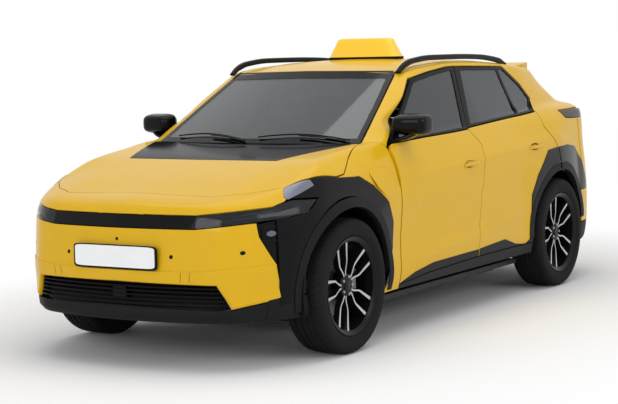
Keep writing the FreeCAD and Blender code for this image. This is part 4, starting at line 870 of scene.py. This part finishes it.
panel("cowl_panel", TOP, both([(0, -1108), (300, -1094), (560, -1056), (724, -1014), (724, -940), (0, -1050)]),
      "body", SATIN, depth=6, out=-20, step=40, replaces=["cowl"])


def wing_tops(x, y):
    """Top of the spoiler: the roof's crown at its front, which turns into two level ears at the back."""
    t = np.clip((y - 1476) / 200, 0, 1)
    return np.interp(y, (1476, 1640, 1800), (1536, 1541, 1536)) - 17 * (1 - t) * (x / 560) ** 2


roof_plain, top_field = top_field, wing_tops(*np.meshgrid(XS, YS))
EARS = [(0, 1477), (556, 1477), (570, 1560), (554, 1688), (503, 1792), (450, 1785), (382, 1711), (291, 1671), (0, 1663)]
panel("spoiler", TOP, both(EARS), "tailgate_leaf", PAINT, depth=46, gap=1, roll=9, step=20)
top_field = roof_plain
panel("tailgate_low", TAIL, both([(0, 642), (536, 642), (REAR_X, 702), (REAR_X, 1130), (0, 1130)]), "tailgate_leaf",
      PAINT, depth=22, gap=1.5, roll=2, step=24, replaces=["tailgate"], slot="yellow_paint")
panel("tailgate_lamp_bar", TAIL, both([(0, 1132), (REAR_X, 1132), (REAR_X, 1196), (0, 1196)]), "tailgate_leaf",
      TAIL_RED, depth=22, out=-2, gap=0.5, roll=3, step=24, replaces=["tailgate_lamp"], slot="tail_lens")
BACK_PANE = path(AFT, [(0, 1262), (505, 1262), (470, 1452), (440, 1466), (0, 1470)])
HATCH = path(AFT, [(0, 1199), (REAR_X, 1199), (REAR_X, 1240)]) + path(
    AFT, [(REAR_X, 2080), (REAR_X, 1700), (REAR_X, 1480), (0, 1480)], by_height=False)
panel("tailgate_high", AFT, both(HATCH), "tailgate_leaf", PAINT, depth=22, gap=1, roll=2, step=20,
      holes=[both(BACK_PANE)])
panel("tailgate_window", AFT, both(BACK_PANE), "tailgate_leaf", REAR_GLASS, depth=5, out=-3, gap=-4, roll=0.5, step=34,
      replaces=["tailgate_glass"], slot="tinted_glass")
TAIL_LAMP = (path(WRAP, [(1204, 1608), (1153, 1652), (1121, 2230)])
             + path(WRAP, [(1126, 640), (1133, REAR_X + 3), (1195, REAR_X + 3), (1197, 640)], by_height=False)
             + path(WRAP, [(1200, 2200), (1210, 1945)]))
pair("tail_lamp_side", WRAP, TAIL_LAMP, "body", TAIL_RED, ["tail_lamps"], depth=18, out=-1, gap=1, roll=3, step=18,
     slot="tail_lens")
panel("rear_bumper_skin", TAIL, both([(0, 632), (640, 632), (640, 404), (0, 404)]), "body", PAINT, depth=18,
      out=-0.4, gap=1.5, roll=2, step=26, replaces=["rear_bumper"], slot="yellow_paint")
BUMPER_SIDE = (path(WRAP, [(z, y) for y, z in ring(446, 4, 34, AXLE, 8)[::-1]] + [(404, 1930), (404, 2280)])
               + path(WRAP, [(404, 655), (404, 642), (631, 642), (631, 655)], by_height=False)
               + path(WRAP, [(631, 2280), (631, 1868)]))
pair("rear_bumper_side", WRAP, BUMPER_SIDE, "body", PAINT, depth=16, gap=1.5, roll=2, step=18)
panel("rear_skirt", TAIL, both([(0, 402), (640, 402), (620, 262), (0, 262)]), "body", GRAINED, depth=20, out=-3, gap=1,
      roll=5, step=30, slot="textured_black")
SKIRT_SIDE = (path(WRAP, [(402, 1868), (262, 1862), (262, 2140)])
              + path(WRAP, [(262, 640), (402, 655)], by_height=False) + path(WRAP, [(402, 2240)]))
pair("rear_skirt_side", WRAP, SKIRT_SIDE, "body", GRAINED, depth=16, out=-3, roll=4, step=20)

# %% [markdown]
# Turned and swept parts share one maker: a grid of rings is skinned, wrapped round where it closes on itself
# and capped where it ends. The volume's sign then says whether the faces point outwards, and turns them if not.

# %% Swept shapes
def squared(v, power):
    """Superellipse coordinate: the sign of v times |v| to a power; below 1 it squares a circle off."""
    return np.sign(v) * np.abs(v) ** power


def skin(name, rings, body, material, along=False, caps=True, sharp=35, flip=False, groups=None, replaces=(),
         slot=None):
    """Surface through closed rings (n, m, 3): joined end to end, or capped with a fan about each end's middle."""
    n, m, _ = rings.shape
    points = rings.reshape(-1, 3)
    i = np.arange(n if along else n - 1)[:, None]
    j = np.arange(m)[None, :]
    a, b = i * m + j, i * m + (j + 1) % m
    c, d = (i + 1) % n * m + (j + 1) % m, (i + 1) % n * m + j
    quads = np.stack([np.broadcast_to(v, (len(i), j.shape[1])) for v in (a, b, c, d)], -1).reshape(-1, 4)
    tris = np.vstack([quads[:, :3], quads[:, [0, 2, 3]]])
    faces = quads.tolist()
    if caps and not along:
        tail = [len(points), len(points) + 1]
        points = np.vstack([points, rings[0].mean(0), rings[-1].mean(0)])
        k = np.arange(m)
        first = np.stack([np.full(m, tail[0]), (k + 1) % m, k], 1)
        last = np.stack([np.full(m, tail[1]), (n - 1) * m + k, (n - 1) * m + (k + 1) % m], 1)
        tris = np.vstack([tris, first, last])
        faces += first.tolist() + last.tolist()
    volume = (points[tris[:, 0]] * np.cross(points[tris[:, 1]], points[tris[:, 2]])).sum()
    if volume < 0:
        faces = [f[::-1] for f in faces]
    if flip:
        points = points * (-1, 1, 1)
        faces = [f[::-1] for f in faces]
    made = mesh_object(name, points, faces, body, material)
    made.data.set_sharp_from_angle(angle=math.radians(sharp))
    if groups is not None:
        made.data.polygons.foreach_set("material_index", np.tile(groups, len(i)).astype(np.int32).tolist()
                                       + [0] * (len(faces) - len(i) * len(groups)))
    return stand_for(made, replaces)


def lathe(profile, centre, count=96):
    """Rings of a profile (across, radius) turned about the car's X direction; the profile closes on itself."""
    a = full_turn(count)[:, None]
    across, radius = np.asarray(profile, float).T
    return np.stack([np.broadcast_to(across, (count, len(across))) + centre[0], radius * np.cos(a) + centre[1],
                     radius * np.sin(a) + centre[2]], -1)


def oval(points, width, tall, power=4, count=20, up=(0, 0, 1)):
    """Rings of a rounded rectangle (superellipse) carried along a path, upright to the path's direction."""
    points = np.asarray(points, float)
    way = np.gradient(points, axis=0)
    way /= np.linalg.norm(way, axis=1)[:, None]
    side = np.cross(way, np.asarray(up, float))
    side /= np.linalg.norm(side, axis=1)[:, None]
    rise = np.cross(side, way)
    a = full_turn(count)
    u, v = squared(np.cos(a), 2 / power), squared(np.sin(a), 2 / power)
    width, tall = np.broadcast_to(width, len(points))[:, None, None], np.broadcast_to(tall, len(points))[:, None, None]
    return (points[:, None] + side[:, None] * u[None, :, None] * width / 2
            + rise[:, None] * v[None, :, None] * tall / 2)


def curve(points, count):
    """Smooth line through a few points: monotone cubic over their running length."""
    points = np.asarray(points, float)
    run = np.concatenate([[0], np.cumsum(np.linalg.norm(np.diff(points, axis=0), axis=1))])
    return through(np.linspace(0, run[-1], count), run, points)


def twin(name, rings, body, material, **more):
    """The same swept piece on the left and, mirrored, on the right."""
    for side, flip in SIDES:
        skin(name + "_" + side, rings, body.format(side), material, flip=flip, **more)


print("swept shape makers ready")

# %% [markdown]
# Liners close the wheel arches: a shell round the tyre and a wall towards the engine bay or the cabin. They leave
# room for the front wheels at full lock.

# %% Arch liners
LINER = [(866, 436), (476, 436), (470, 430), (470, 250), (463, 250), (463, 436), (476, 443), (866, 443)]
for end, y in (("front", -AXLE), ("rear", AXLE)):
    turn = np.radians(np.linspace(-14, 194, 72))[:, None]
    across, radius = np.array(LINER, float).T
    rings = np.stack([across + 0 * turn, y + radius * np.cos(turn), HUB + radius * np.sin(turn)], -1)
    twin("arch_liner_" + end, rings, "body", SATIN)

# %% [markdown]
# A tyre is a turned section. Its tread is cut by lowering the crown: four grooves round it, and slanting
# cuts across it, functions of the angle and of the place across. Fine ribs ring the sidewall. The wheel has a
# turned barrel and five pairs of slim blades whose faces are machined bright, between black flanks.

# %% Wheels
HALF_TRACK, CROWN_HALF = 800, 78
SPOKE_PAIRS, BOLT_CIRCLE = 5, 50
GROOVES, GROOVE_DEPTH, CUT_DEPTH, TREAD_FOOT = (-54, -19, 19, 54), 7, 4.5, 352
SECTION = [(96, 257), (99, 270), (108, 277), (113, 290), (117, 312), (116.5, 336), (113, 350), (108, 358), (101, 364),
           (92, 368), (80, 370.3)]
half = curve([(a, 0, r) for a, r in SECTION], 30)[:, [0, 2]]
across = np.linspace(CROWN_HALF, -CROWN_HALF, 53)
crown = np.stack([across, HUB - (across / CROWN_HALF) ** 4], 1)
SECTION_ALL = np.vstack([half, crown, half[::-1] * (-1, 1), [(-90, 262), (90, 262)]])
BARREL = [(62, 241), (94, 244), (107, 262), (108.5, 270), (104, 272), (98, 268), (94, 255), (64, 250.5), (-64, 250.5),
          (-94, 255), (-98, 268), (-104, 272), (-108, 270), (-107, 262), (-94, 244), (-62, 241)]
BRAKE = [(-34, 70), (-34, 165), (-22, 165), (-22, 158), (-20, 158), (-20, 165), (-8, 165), (-8, 84), (20, 84), (20, 60),
         (-34, 60)]
SIX = np.arange(6) * math.pi / 3
BOLT = np.stack([np.full(6, 1.0), 9 * np.cos(SIX), 9 * np.sin(SIX)], 1)
HUB_CAP = [(30, 1), (30, 66), (58, 66), (66, 62), (70, 54), (70, 36), (74, 33), (76, 28), (77, 1)]


def blade(turn, way):
    """Rings of one spoke of a pair: it leaves the hub near the pair's middle, swings out and runs to the rim."""
    t = np.linspace(0, 1, 22)
    r = 52 + t * 197
    offset = blur(np.interp(r, (52, 78, 126, 250), (7, 12, 40, 49))[:, None], 1.0, 0)[:, 0] * way
    wide, face = np.interp(r, (52, 120, 250), (5.5, 5.5, 10.5)), 68 + 23 * t**1.5
    deep = 36 - 8 * t
    across = np.array([-1.0, -0.9, 0.9, 1.0, 1.9, -1.9])
    forward = np.array([-2.5, 0.0, 0.0, -2.5, -1.0, -1.0])
    x = face[:, None] + np.where(forward == -1, -deep[:, None], forward)
    s = offset[:, None] + across[None, :] * wide[:, None]
    c, d = math.cos(turn), math.sin(turn)
    return np.stack([x, r[:, None] * c - s * d, r[:, None] * d + s * c], -1)


for end, y in (("front", -AXLE), ("rear", AXLE)):
    for side, flip in SIDES:
        body = "wheel_%s_%s" % (end, side)
        centre = np.array((HALF_TRACK, y, HUB))
        rings = lathe(SECTION_ALL, (0, 0, 0), 360)
        across = SECTION_ALL[None, :, 0]
        radius = np.hypot(rings[..., 1], rings[..., 2])
        angle = np.arctan2(rings[..., 2], rings[..., 1])
        on_tread = np.clip((radius - TREAD_FOOT) / 8, 0, 1)
        band = sum(np.exp(-((across - place) / 4.2) ** 6) for place in GROOVES)
        slant = (angle * 60 / (2 * math.pi) + np.abs(across) * 0.012) % 1.0
        cut = ((slant > 0.82) & (np.abs(across) > 60)) | ((slant > 0.9) & (np.abs(across) < 50))
        depth = on_tread * np.maximum(np.clip(band, 0, 1) * GROOVE_DEPTH, cut * CUT_DEPTH)
        ribs = np.exp(-((radius - 318) / 9) ** 4) * (np.sin(angle * 90) > 0.2) * 0.6
        scale = (radius - depth + ribs) / radius
        rings[..., 1:] *= scale[..., None]
        skin("tyre_cover_" + body, rings + centre, body, RUBBER, along=True, flip=flip, sharp=40,
             replaces=["tyre_%s_%s" % (end, side)], slot="tyre_rubber")
        skin("rim_barrel_" + body, lathe(BARREL, centre), body, RIM_BLACK, along=True, flip=flip,
             replaces=["rim_%s_%s" % (end, side)], slot="wheel_alloy")
        skin("rim_hub_" + body, lathe(HUB_CAP, centre, 60), body, RIM_BLACK, along=True, flip=flip)
        # The disc's darkened colour is painted shade for the inside of the wheel.
        skin("brake_disc_" + body, lathe(BRAKE, centre, 72), body, DISC_SHADED, along=True, flip=flip)
        for index in range(SPOKE_PAIRS):
            for way in (-1, 1):
                rings = blade(math.radians(36 + index * 72), way) + centre
                skin("spoke_%d_%d_%s" % (index, way + 1, body), rings, body, [RIM_BLACK, RIM_FACE], flip=flip, sharp=25,
                     groups=np.array([0, 1, 0, 0, 0, 0]))
            a = math.radians(index * 72)
            place = centre + (0, BOLT_CIRCLE * math.cos(a), BOLT_CIRCLE * math.sin(a))
            skin("bolt_%d_%s" % (index, body), np.stack([BOLT * (0, 1, 1) + (60, 0, 0), BOLT * (0, 1, 1) + (76, 0, 0),
                 BOLT * (0, 0.7, 0.7) + (79, 0, 0)]) + place, body, CAST, flip=flip)

# %% [markdown]
# Mirrors, roof rails and handles are small pieces swept along a path or rounded like an egg. A mirror's shell is an
# egg cut off flat where its glass sits, and it stands on a short arm at the foot of the front window.

# %% Mirrors, rails, handles
def egg(centre, half, power=0.55, lean=(0, 0, 0), count=28):
    """Superellipsoid rings: latitude and longitude sines and cosines raised to a power, scaled by half sizes."""
    lat = np.linspace(-math.pi / 2 + 0.02, math.pi / 2 - 0.02, count)[:, None]
    lon = full_turn(count * 2)[None, :]
    x = squared(np.cos(lat), power) * squared(np.cos(lon), power)
    y = squared(np.cos(lat), power) * squared(np.sin(lon), power)
    z = squared(np.sin(lat), power) * np.ones_like(lon)
    points = np.stack([x * half[0], y * half[1], z * half[2]], -1)
    points += np.stack([z * lean[0] * half[0], x * lean[1] * half[1] + z * lean[2], x * 0], -1)
    return points + np.asarray(centre, float)


MIRROR = (904, -706, 1214)
MIRROR_SLANT, TAPER_Z = 0.12, 1216
shell = egg(MIRROR, (104, 80, 63), 0.5, (0, 0.16, 0))
taper = np.clip((shell[..., 1] - MIRROR[1]) / -110, 0, 1)
shell[..., 2] = TAPER_Z + (shell[..., 2] - TAPER_Z) * (1 - 0.28 * taper)
shell[..., 1] = np.minimum(shell[..., 1], -640 + MIRROR_SLANT * (shell[..., 0] - MIRROR[0]))
for side, flip in SIDES:
    skin("mirror_shell_" + side, shell, "door_front_%s_leaf" % side, PIANO, flip=flip, sharp=50,
         replaces=["mirror_" + side], slot="gloss_black")
arm = curve([(812, -716, 1124), (850, -712, 1134), (890, -706, 1146), (920, -702, 1164)], 12)
twin("mirror_arm", oval(arm, np.linspace(150, 100, 12), np.linspace(26, 30, 12), 3), "door_front_{}_leaf", PIANO)
a = full_turn(32)
face = np.stack([MIRROR[0] + 90 * squared(np.cos(a), 0.5), np.full(32, -638.0),
                 MIRROR[2] + 50 * squared(np.sin(a), 0.5)], 1)
face[:, 1] += MIRROR_SLANT * (face[:, 0] - MIRROR[0])
twin("mirror_face", np.stack([face, face + (0, 2.5, 0)]), "door_front_{}_leaf", RIM_FACE)
rail = curve([(604, -318, 1512), (606, -262, 1545), (607, -150, 1577), (608, 112, 1596), (608, 450, 1597),
              (606, 760, 1592), (604, 1080, 1566), (600, 1200, 1537)], 60)
rail_tall = np.interp(np.arange(60), (0, 4, 55, 59), (16, 34, 34, 14))
twin("roof_rail", oval(rail - (0, 0, 3), 36, rail_tall, 3.2, 24), "body", SATIN, sharp=60)
stand_for(bpy.data.objects["roof_rail_left"], ["roof_rails"])
for name, y, z in (("front", 62, 935), ("rear", 1049, 984)):
    t = np.linspace(-1, 1, 25)
    x = height(SIDE, y + t * 98, z + t * 4) + 16 * (1 - t**4) - 1
    grip = np.stack([x, y + t * 98, z + t * 4], 1)
    leaf = "door_%s_{}_leaf" % name
    twin("handle_" + name, oval(grip, 15 - 4 * t**4, 24 - 6 * t**4, 2.6), leaf, PAINT, sharp=60)
    a = full_turn(28)
    pair("handle_cup_" + name, SIDE, np.stack([y - 20 + 66 * np.cos(a), z + 23 * np.sin(a)], 1), leaf, SATIN, depth=2,
         out=0.4, roll=0.5, step=22)

# %% [markdown]
# The roof sign is a rounded trapezoid: its sections are superellipses that shrink with height, and the last few
# draw in to round the top. The number plates are thin blank plates, and the wipers lie on the windscreen's field.

# %% Sign, plates, wipers
SIGN_Y, SIGN_FOOT, SIGN_TALL = 358, 1603, 121.6
rise = np.array([0, 0, 0.03, 0.35, 0.7, 0.93, 0.985, 1.0, 1.0])
shrink = np.array([0.0, 1, 1, 1, 1, 1, 0.96, 0.86, 0.0])
a = full_turn(96)
u, v = squared(np.cos(a), 0.42), squared(np.sin(a), 0.42)
long_half = (258 - 62 * rise) * shrink
deep_half = (72 - 38 * rise) * shrink
sign = np.stack([long_half[:, None] * u, deep_half[:, None] * v + SIGN_Y,
                 SIGN_FOOT + SIGN_TALL * rise[:, None] + 0 * u], -1)
skin("taxi_sign_cover", sign, "body", SIGN, caps=False, sharp=30, replaces=["taxi_sign"], slot="sign_yellow")
foot = np.stack([np.array([0, 252, 262, 262, 0])[:, None] * u, np.array([0, 66, 75, 75, 0])[:, None] * v + SIGN_Y,
                 np.array([1584, 1584, 1592, 1604, 1604])[:, None] + 0 * u], -1)
skin("sign_foot", foot, "body", SATIN, caps=False, sharp=40, replaces=["sign_base"])


def slab(name, x, y, z, half, body, material, power=12, **more):
    """Thin rounded plate standing across the car: superellipse rings from back to front with a small chamfer."""
    b = full_turn(64)
    p, q = squared(np.cos(b), 2 / power), squared(np.sin(b), 2 / power)
    size = np.array([0, 1, 1, 0.0])[:, None]
    deep = np.array([-1, -1, 1, 1.0])[:, None]
    rings = np.stack([x + size * p * half[0], y + deep * half[1] + 0 * p, z + size * q * half[2]], -1)
    skin(name, rings, body, material, caps=False, sharp=40, **more)


slab("plate_holder_front", 0, -2337, 597, (274, 3, 64), "body", SATIN)
slab("plate_face_front", 0, -2341, 599, (262, 3, 56), "body", PLATE, replaces=["front_plate"], slot="plate_white")
slab("radar_cover", 0, -2300, 404, (44, 6, 32), "body", PIANO, power=8)
slab("plate_holder_rear", 0, 2302, 822, (274, 4, 64), "tailgate_leaf", SATIN)
slab("plate_face_rear", 0, 2306, 824, (262, 3, 56), "tailgate_leaf", PLATE, replaces=["rear_plate"],
     slot="plate_white")
for name, start, end_x in (("left", 640, 60), ("right", -20, -560)):
    t = np.linspace(0, 1, 40)
    p = start + (end_x - start) * t
    q = 1130 + 26 * np.sin(t * math.pi * 0.9) + 8 * t
    blade_line, _ = lift(SCREEN, p, q, 9)
    skin("wiper_blade_" + name, oval(blade_line, 12, 9, 2.5, 8), "body", SATIN)
    stem, _ = lift(SCREEN, p[:22] * 0.96 + 10, q[:22] - 10, 14)
    skin("wiper_arm_" + name, oval(stem, 14, 8, 3, 8), "body", SATIN)

# %% [markdown]
# The cabin is seen through tinted glass, so it needs true forms rather than fine detail: a dashboard swept across
# the car, two screens, a steering wheel on a tilted hub, a mirror and a lined roof.

# %% Dashboard, wheel and lining
WHEEL_RADIUS = 178


def turned(lean):
    """Matrix of a turn about the car's X direction: y and z mix by the angle's cosine and sine."""
    return np.array([[1, 0, 0], [0, math.cos(lean), -math.sin(lean)], [0, math.sin(lean), math.cos(lean)]])


DASH = [(-900, 690), (-640, 560), (-540, 600), (-500, 700), (-480, 800), (-500, 880), (-560, 950), (-640, 1000),
        (-760, 1040), (-900, 1058)]
loop = densify(DASH, 25)
loop = blur(np.vstack([loop, loop, loop]), 1.6, 0)[len(loop):2 * len(loop)]
xs = np.array([-668, -664, -640, -400, -380, -150, 0, 150, 180, 560, 640, 664, 668], float)
hood = 22 * np.exp(-((xs - 370) / 190) ** 4)
size = np.array([0.9, 0.97, 1, 1, 1, 1, 1, 1, 1, 1, 1, 0.97, 0.9])
dash = np.stack([np.broadcast_to(xs[:, None], (len(xs), len(loop))), (loop[:, 0] + 700) * size[:, None] - 700,
                 (loop[:, 1] - 850) * size[:, None] + 850 + hood[:, None] * (loop[:, 1] > 930)], -1)
skin("dash_cover", dash, "body", TRIM, sharp=50, replaces=["dashboard"])
slab("dash_screen", 0, -500, 1010, (150, 6, 70), "body", PIANO, power=8)
slab("dash_meter", 370, -700, 1062, (110, 6, 34), "body", PIANO, power=6)
tunnel = curve([(0, -520, 560), (0, -300, 585), (0, 0, 590), (0, 320, 560)], 20)
skin("console_cover", oval(tunnel + (0, 0, -150), 190, 310, 8), "body", TRIM)
a = full_turn(64)
tilt = turned(0.4)
hub = np.array((370, -430, 900.0))
ring_line = np.stack([WHEEL_RADIUS * np.cos(a), np.zeros(64), WHEEL_RADIUS * np.sin(a)], 1)
b = full_turn(14)
out_way = ring_line / WHEEL_RADIUS
wheel = (ring_line[:, None] + out_way[:, None] * np.cos(b)[None, :, None] * 15
         + np.array((0, 1, 0)) * np.sin(b)[None, :, None] * 13)
skin("steering_rim", wheel @ tilt.T + hub, "body", TRIM, along=True, sharp=70, replaces=["steering_wheel"])
for index, spot in enumerate(((172, 0), (-172, 0), (0, -172))):
    line = np.linspace((0, -8, 0), (spot[0], 0, spot[1]), 8)
    skin("steering_spoke_%d" % index, oval(line, 30, 12, 4, up=(0, 1, 0.01)) @ tilt.T + hub, "body", SATIN)
skin("steering_boss", egg((0, -14, 0), (66, 26, 58), 0.7) @ tilt.T + hub, "body", TRIM)
skin("inner_mirror_shell", egg((0, -392, 1440), (122, 13, 32), 0.5), "body", PIANO)
stem = np.array([(0, -392, 1455), (0, -398, 1478), (0, -412, 1498)], float)
skin("inner_mirror_stem", oval(stem, 20, 12, 3, 10), "body", SATIN, replaces=["inner_mirror"])
panel("headlining", TOP, both([(0, -330), (560, -280), (560, 1380), (0, 1420)]), "body", HEADLINER, depth=6, out=-30,
      step=60)

# %% [markdown]
# Seats are padded pieces on plain frames. Each pad is a plump rounded block whose top sinks between its bolsters
# and along sewn valleys. The pads are drawn and not puffed up by a simulation,
# because they are only seen through dark glass.

# %% Seats
def cushion(name, centre, half, valleys=3, bolster=0.3, lean=0.0):
    """Padded block: a superellipsoid whose top sinks between the bolsters and along a few sewn lines, then leans."""
    points = egg((0, 0, 0), half, 0.4, count=30)
    x, y, z = (points[..., k] / half[k] for k in range(3))
    dent = bolster * 0.22 * half[2] * np.exp(-(x / 0.62) ** 4) * np.clip(z, 0, 1)
    seam = np.exp(-(np.sin(y * math.pi * valleys / 2) / 0.12) ** 2) * np.clip(z, 0, 1) * np.exp(-(x / 0.7) ** 8)
    points[..., 2] -= dent + 0.05 * half[2] * seam
    made = skin(name, points @ turned(lean).T + np.asarray(centre, float), "body", CLOTH, sharp=80)


for side, x in (("left", 370), ("right", -370)):
    cushion("seat_base_" + side, (x, -40, 500), (255, 285, 70))
    cushion("seat_back_" + side, (x, 335, 850), (245, 325, 72), 4, lean=math.radians(-74) + math.pi)
    cushion("seat_head_" + side, (x, 448, 1265), (125, 88, 40), 1, 0.1, lean=math.radians(-80) + math.pi)
    skin("seat_frame_" + side, oval(np.linspace((x, -290, 330), (x, 230, 330), 6), 420, 190, 8), "body", STEEL)
    for k in (-1, 1):
        post = np.linspace((x + k * 50, 405, 1120), (x + k * 50, 440, 1230), 5)
        skin("seat_post_%d_%s" % (k + 1, side), oval(post, 10, 10, 2, 12, up=(1, 0, 0)), "body", RIM_FACE)
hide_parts("front_seats")
cushion("rear_seat_base", (0, 690, 500), (590, 255, 92), 3, 0.1)
cushion("rear_seat_back", (0, 1000, 850), (590, 300, 75), 4, 0.1, lean=math.radians(-70) + math.pi)
for k in (-1, 1):
    cushion("rear_head_%d" % (k + 1), (k * 370, 1110, 1190), (120, 70, 36), 1, 0.1, lean=math.radians(-76) + math.pi)
skin("rear_seat_frame", oval(np.linspace((0, 450, 320), (0, 920, 320), 5), 1160, 176, 8), "body", STEEL,
     replaces=["rear_seat"])

# %% [markdown]
# What lies underneath keeps the construction model's own shape and only needs its finish: floor, battery, motors,
# arms and housings. Nothing of that is bright on a real car.

# %% Finishes of the model's own parts
UNDER = {"drive_units": CAST, "wheel_housings": SATIN, "knuckle_front_left": CAST, "knuckle_front_right": CAST}
left_over = []
for name, item in nodes.items():
    if item.hide_render:
        continue
    left_over.append(name)
    item.data.materials.clear()
    item.data.materials.append(UNDER.get(name, STEEL))
print("the model's own:", left_over)

# %% [markdown]
# The studio is a white floor in white surroundings. The camera sees both as pure white, while what lights the car
# is weaker. Round the car the floor is a real surface, so that it takes a soft shadow which fades outwards.

# %% Studio
scene = bpy.context.scene
scene.view_settings.view_transform = "Standard"


def seen(tree):
    """1 for rays from the camera, from a gloss or through glass, and 0 for those that light a surface."""
    path_in = node(tree, "LightPath")
    first, second = (node(tree, "Math", operation="MAXIMUM") for _ in range(2))
    for source, target in ((path_in.outputs["Is Camera Ray"], first.inputs[0]),
                           (path_in.outputs["Is Glossy Ray"], first.inputs[1]), (first.outputs[0], second.inputs[0]),
                           (path_in.outputs["Is Transmission Ray"], second.inputs[1])):
        tree.links.new(source, target)
    return second.outputs[0]


world = bpy.data.worlds.new("studio")
scene.world = world
world.use_nodes = True
tree = world.node_tree
tree.nodes.clear()
link = tree.links.new
out = node(tree, "OutputWorld")
mix = node(tree, "MixShader")
soft = node(tree, "Background", _0=(1, 1, 1, 1), _1=0.5)
white = node(tree, "Background", _0=(1, 1, 1, 1), _1=1.0)
link(seen(tree), mix.inputs[0])
link(soft.outputs[0], mix.inputs[1])
link(white.outputs[0], mix.inputs[2])
link(mix.outputs[0], out.inputs[0])
floor_mesh = bpy.data.meshes.new("studio_floor")
floor_mesh.from_pydata([(-80, -80, 0), (80, -80, 0), (80, 80, 0), (-80, 80, 0)], [], [(0, 1, 2, 3)])
floor = bpy.data.objects.new("studio_floor", floor_mesh)
scene.collection.objects.link(floor)
floor_mat = finish("floor_white", (0.93, 0.93, 0.93), rough=0.9, level=0.1)
floor_mesh.materials.append(floor_mat)
tree = floor_mat.node_tree
link = tree.links.new
place = node(tree, "TexCoord")
squash = node(tree, "VectorMath", operation="MULTIPLY", _1=(0.42, 0.25, 0))
away = node(tree, "VectorMath", operation="LENGTH")
edge = node(tree, "MapRange", interpolation_type="SMOOTHSTEP", _1=0.62, _2=1.3)
both_ways = node(tree, "Math", operation="MULTIPLY")
bright = node(tree, "Emission", _0=(1, 1, 1, 1), _1=1.0)
mix = node(tree, "MixShader")
link(place.outputs["Object"], squash.inputs[0])
link(squash.outputs[0], away.inputs[0])
link(away.outputs["Value"], edge.inputs["Value"])
link(edge.outputs["Result"], both_ways.inputs[0])
link(seen(tree), both_ways.inputs[1])
link(both_ways.outputs[0], mix.inputs[0])
link(tree.nodes["Principled BSDF"].outputs[0], mix.inputs[1])
link(bright.outputs[0], mix.inputs[2])
link(mix.outputs[0], tree.nodes["Material Output"].inputs["Surface"])
print("studio ready")

# %% [markdown]
# Three large soft lamps light the car from above, from the front and from its left. The camera stands at the front
# left, a little above bonnet height, with a long lens.

# %% Lamps and camera
def lamp(name, place, target, size, power):
    """Soft rectangular lamp that looks at a target."""
    data = bpy.data.lights.new(name, "AREA")
    data.shape, data.size, data.size_y, data.energy = "RECTANGLE", size[0], size[1], power
    made = bpy.data.objects.new(name, data)
    made.location = place
    made.rotation_mode = "QUATERNION"
    made.rotation_quaternion = (Vector(target) - Vector(place)).to_track_quat("-Z", "Y")
    scene.collection.objects.link(made)


lamp("top", (0.5, -0.5, 6.5), (0, 0, 0.8), (8, 7), 215)
lamp("front", (1.0, -9.5, 3.4), (0, 0, 0.8), (6, 3), 190)
lamp("side", (8.5, -1.0, 3.6), (0, 0, 0.7), (7, 3), 160)
yaw, pitch, roll = math.radians(31.775), math.radians(5.139), math.radians(-1.274)
ahead_way = Vector((-math.sin(yaw) * math.cos(pitch), math.cos(yaw) * math.cos(pitch), -math.sin(pitch)))
right = Vector((math.cos(yaw), math.sin(yaw), 0))
upward = right.cross(ahead_way)
right_turned = right * math.cos(roll) + upward * math.sin(roll)
up_turned = upward * math.cos(roll) - right * math.sin(roll)
camera = bpy.data.objects.new("camera", bpy.data.cameras.new("camera"))
scene.collection.objects.link(camera)
camera.data.sensor_width, camera.data.lens = 36, 95.86
camera.data.clip_end = 200
camera.matrix_world = Matrix((right_turned, up_turned, -ahead_way)).transposed().to_4x4()
camera.location = (5.37804, -9.07653, 1.63132)
scene.camera = camera
print("lamps and camera in place")
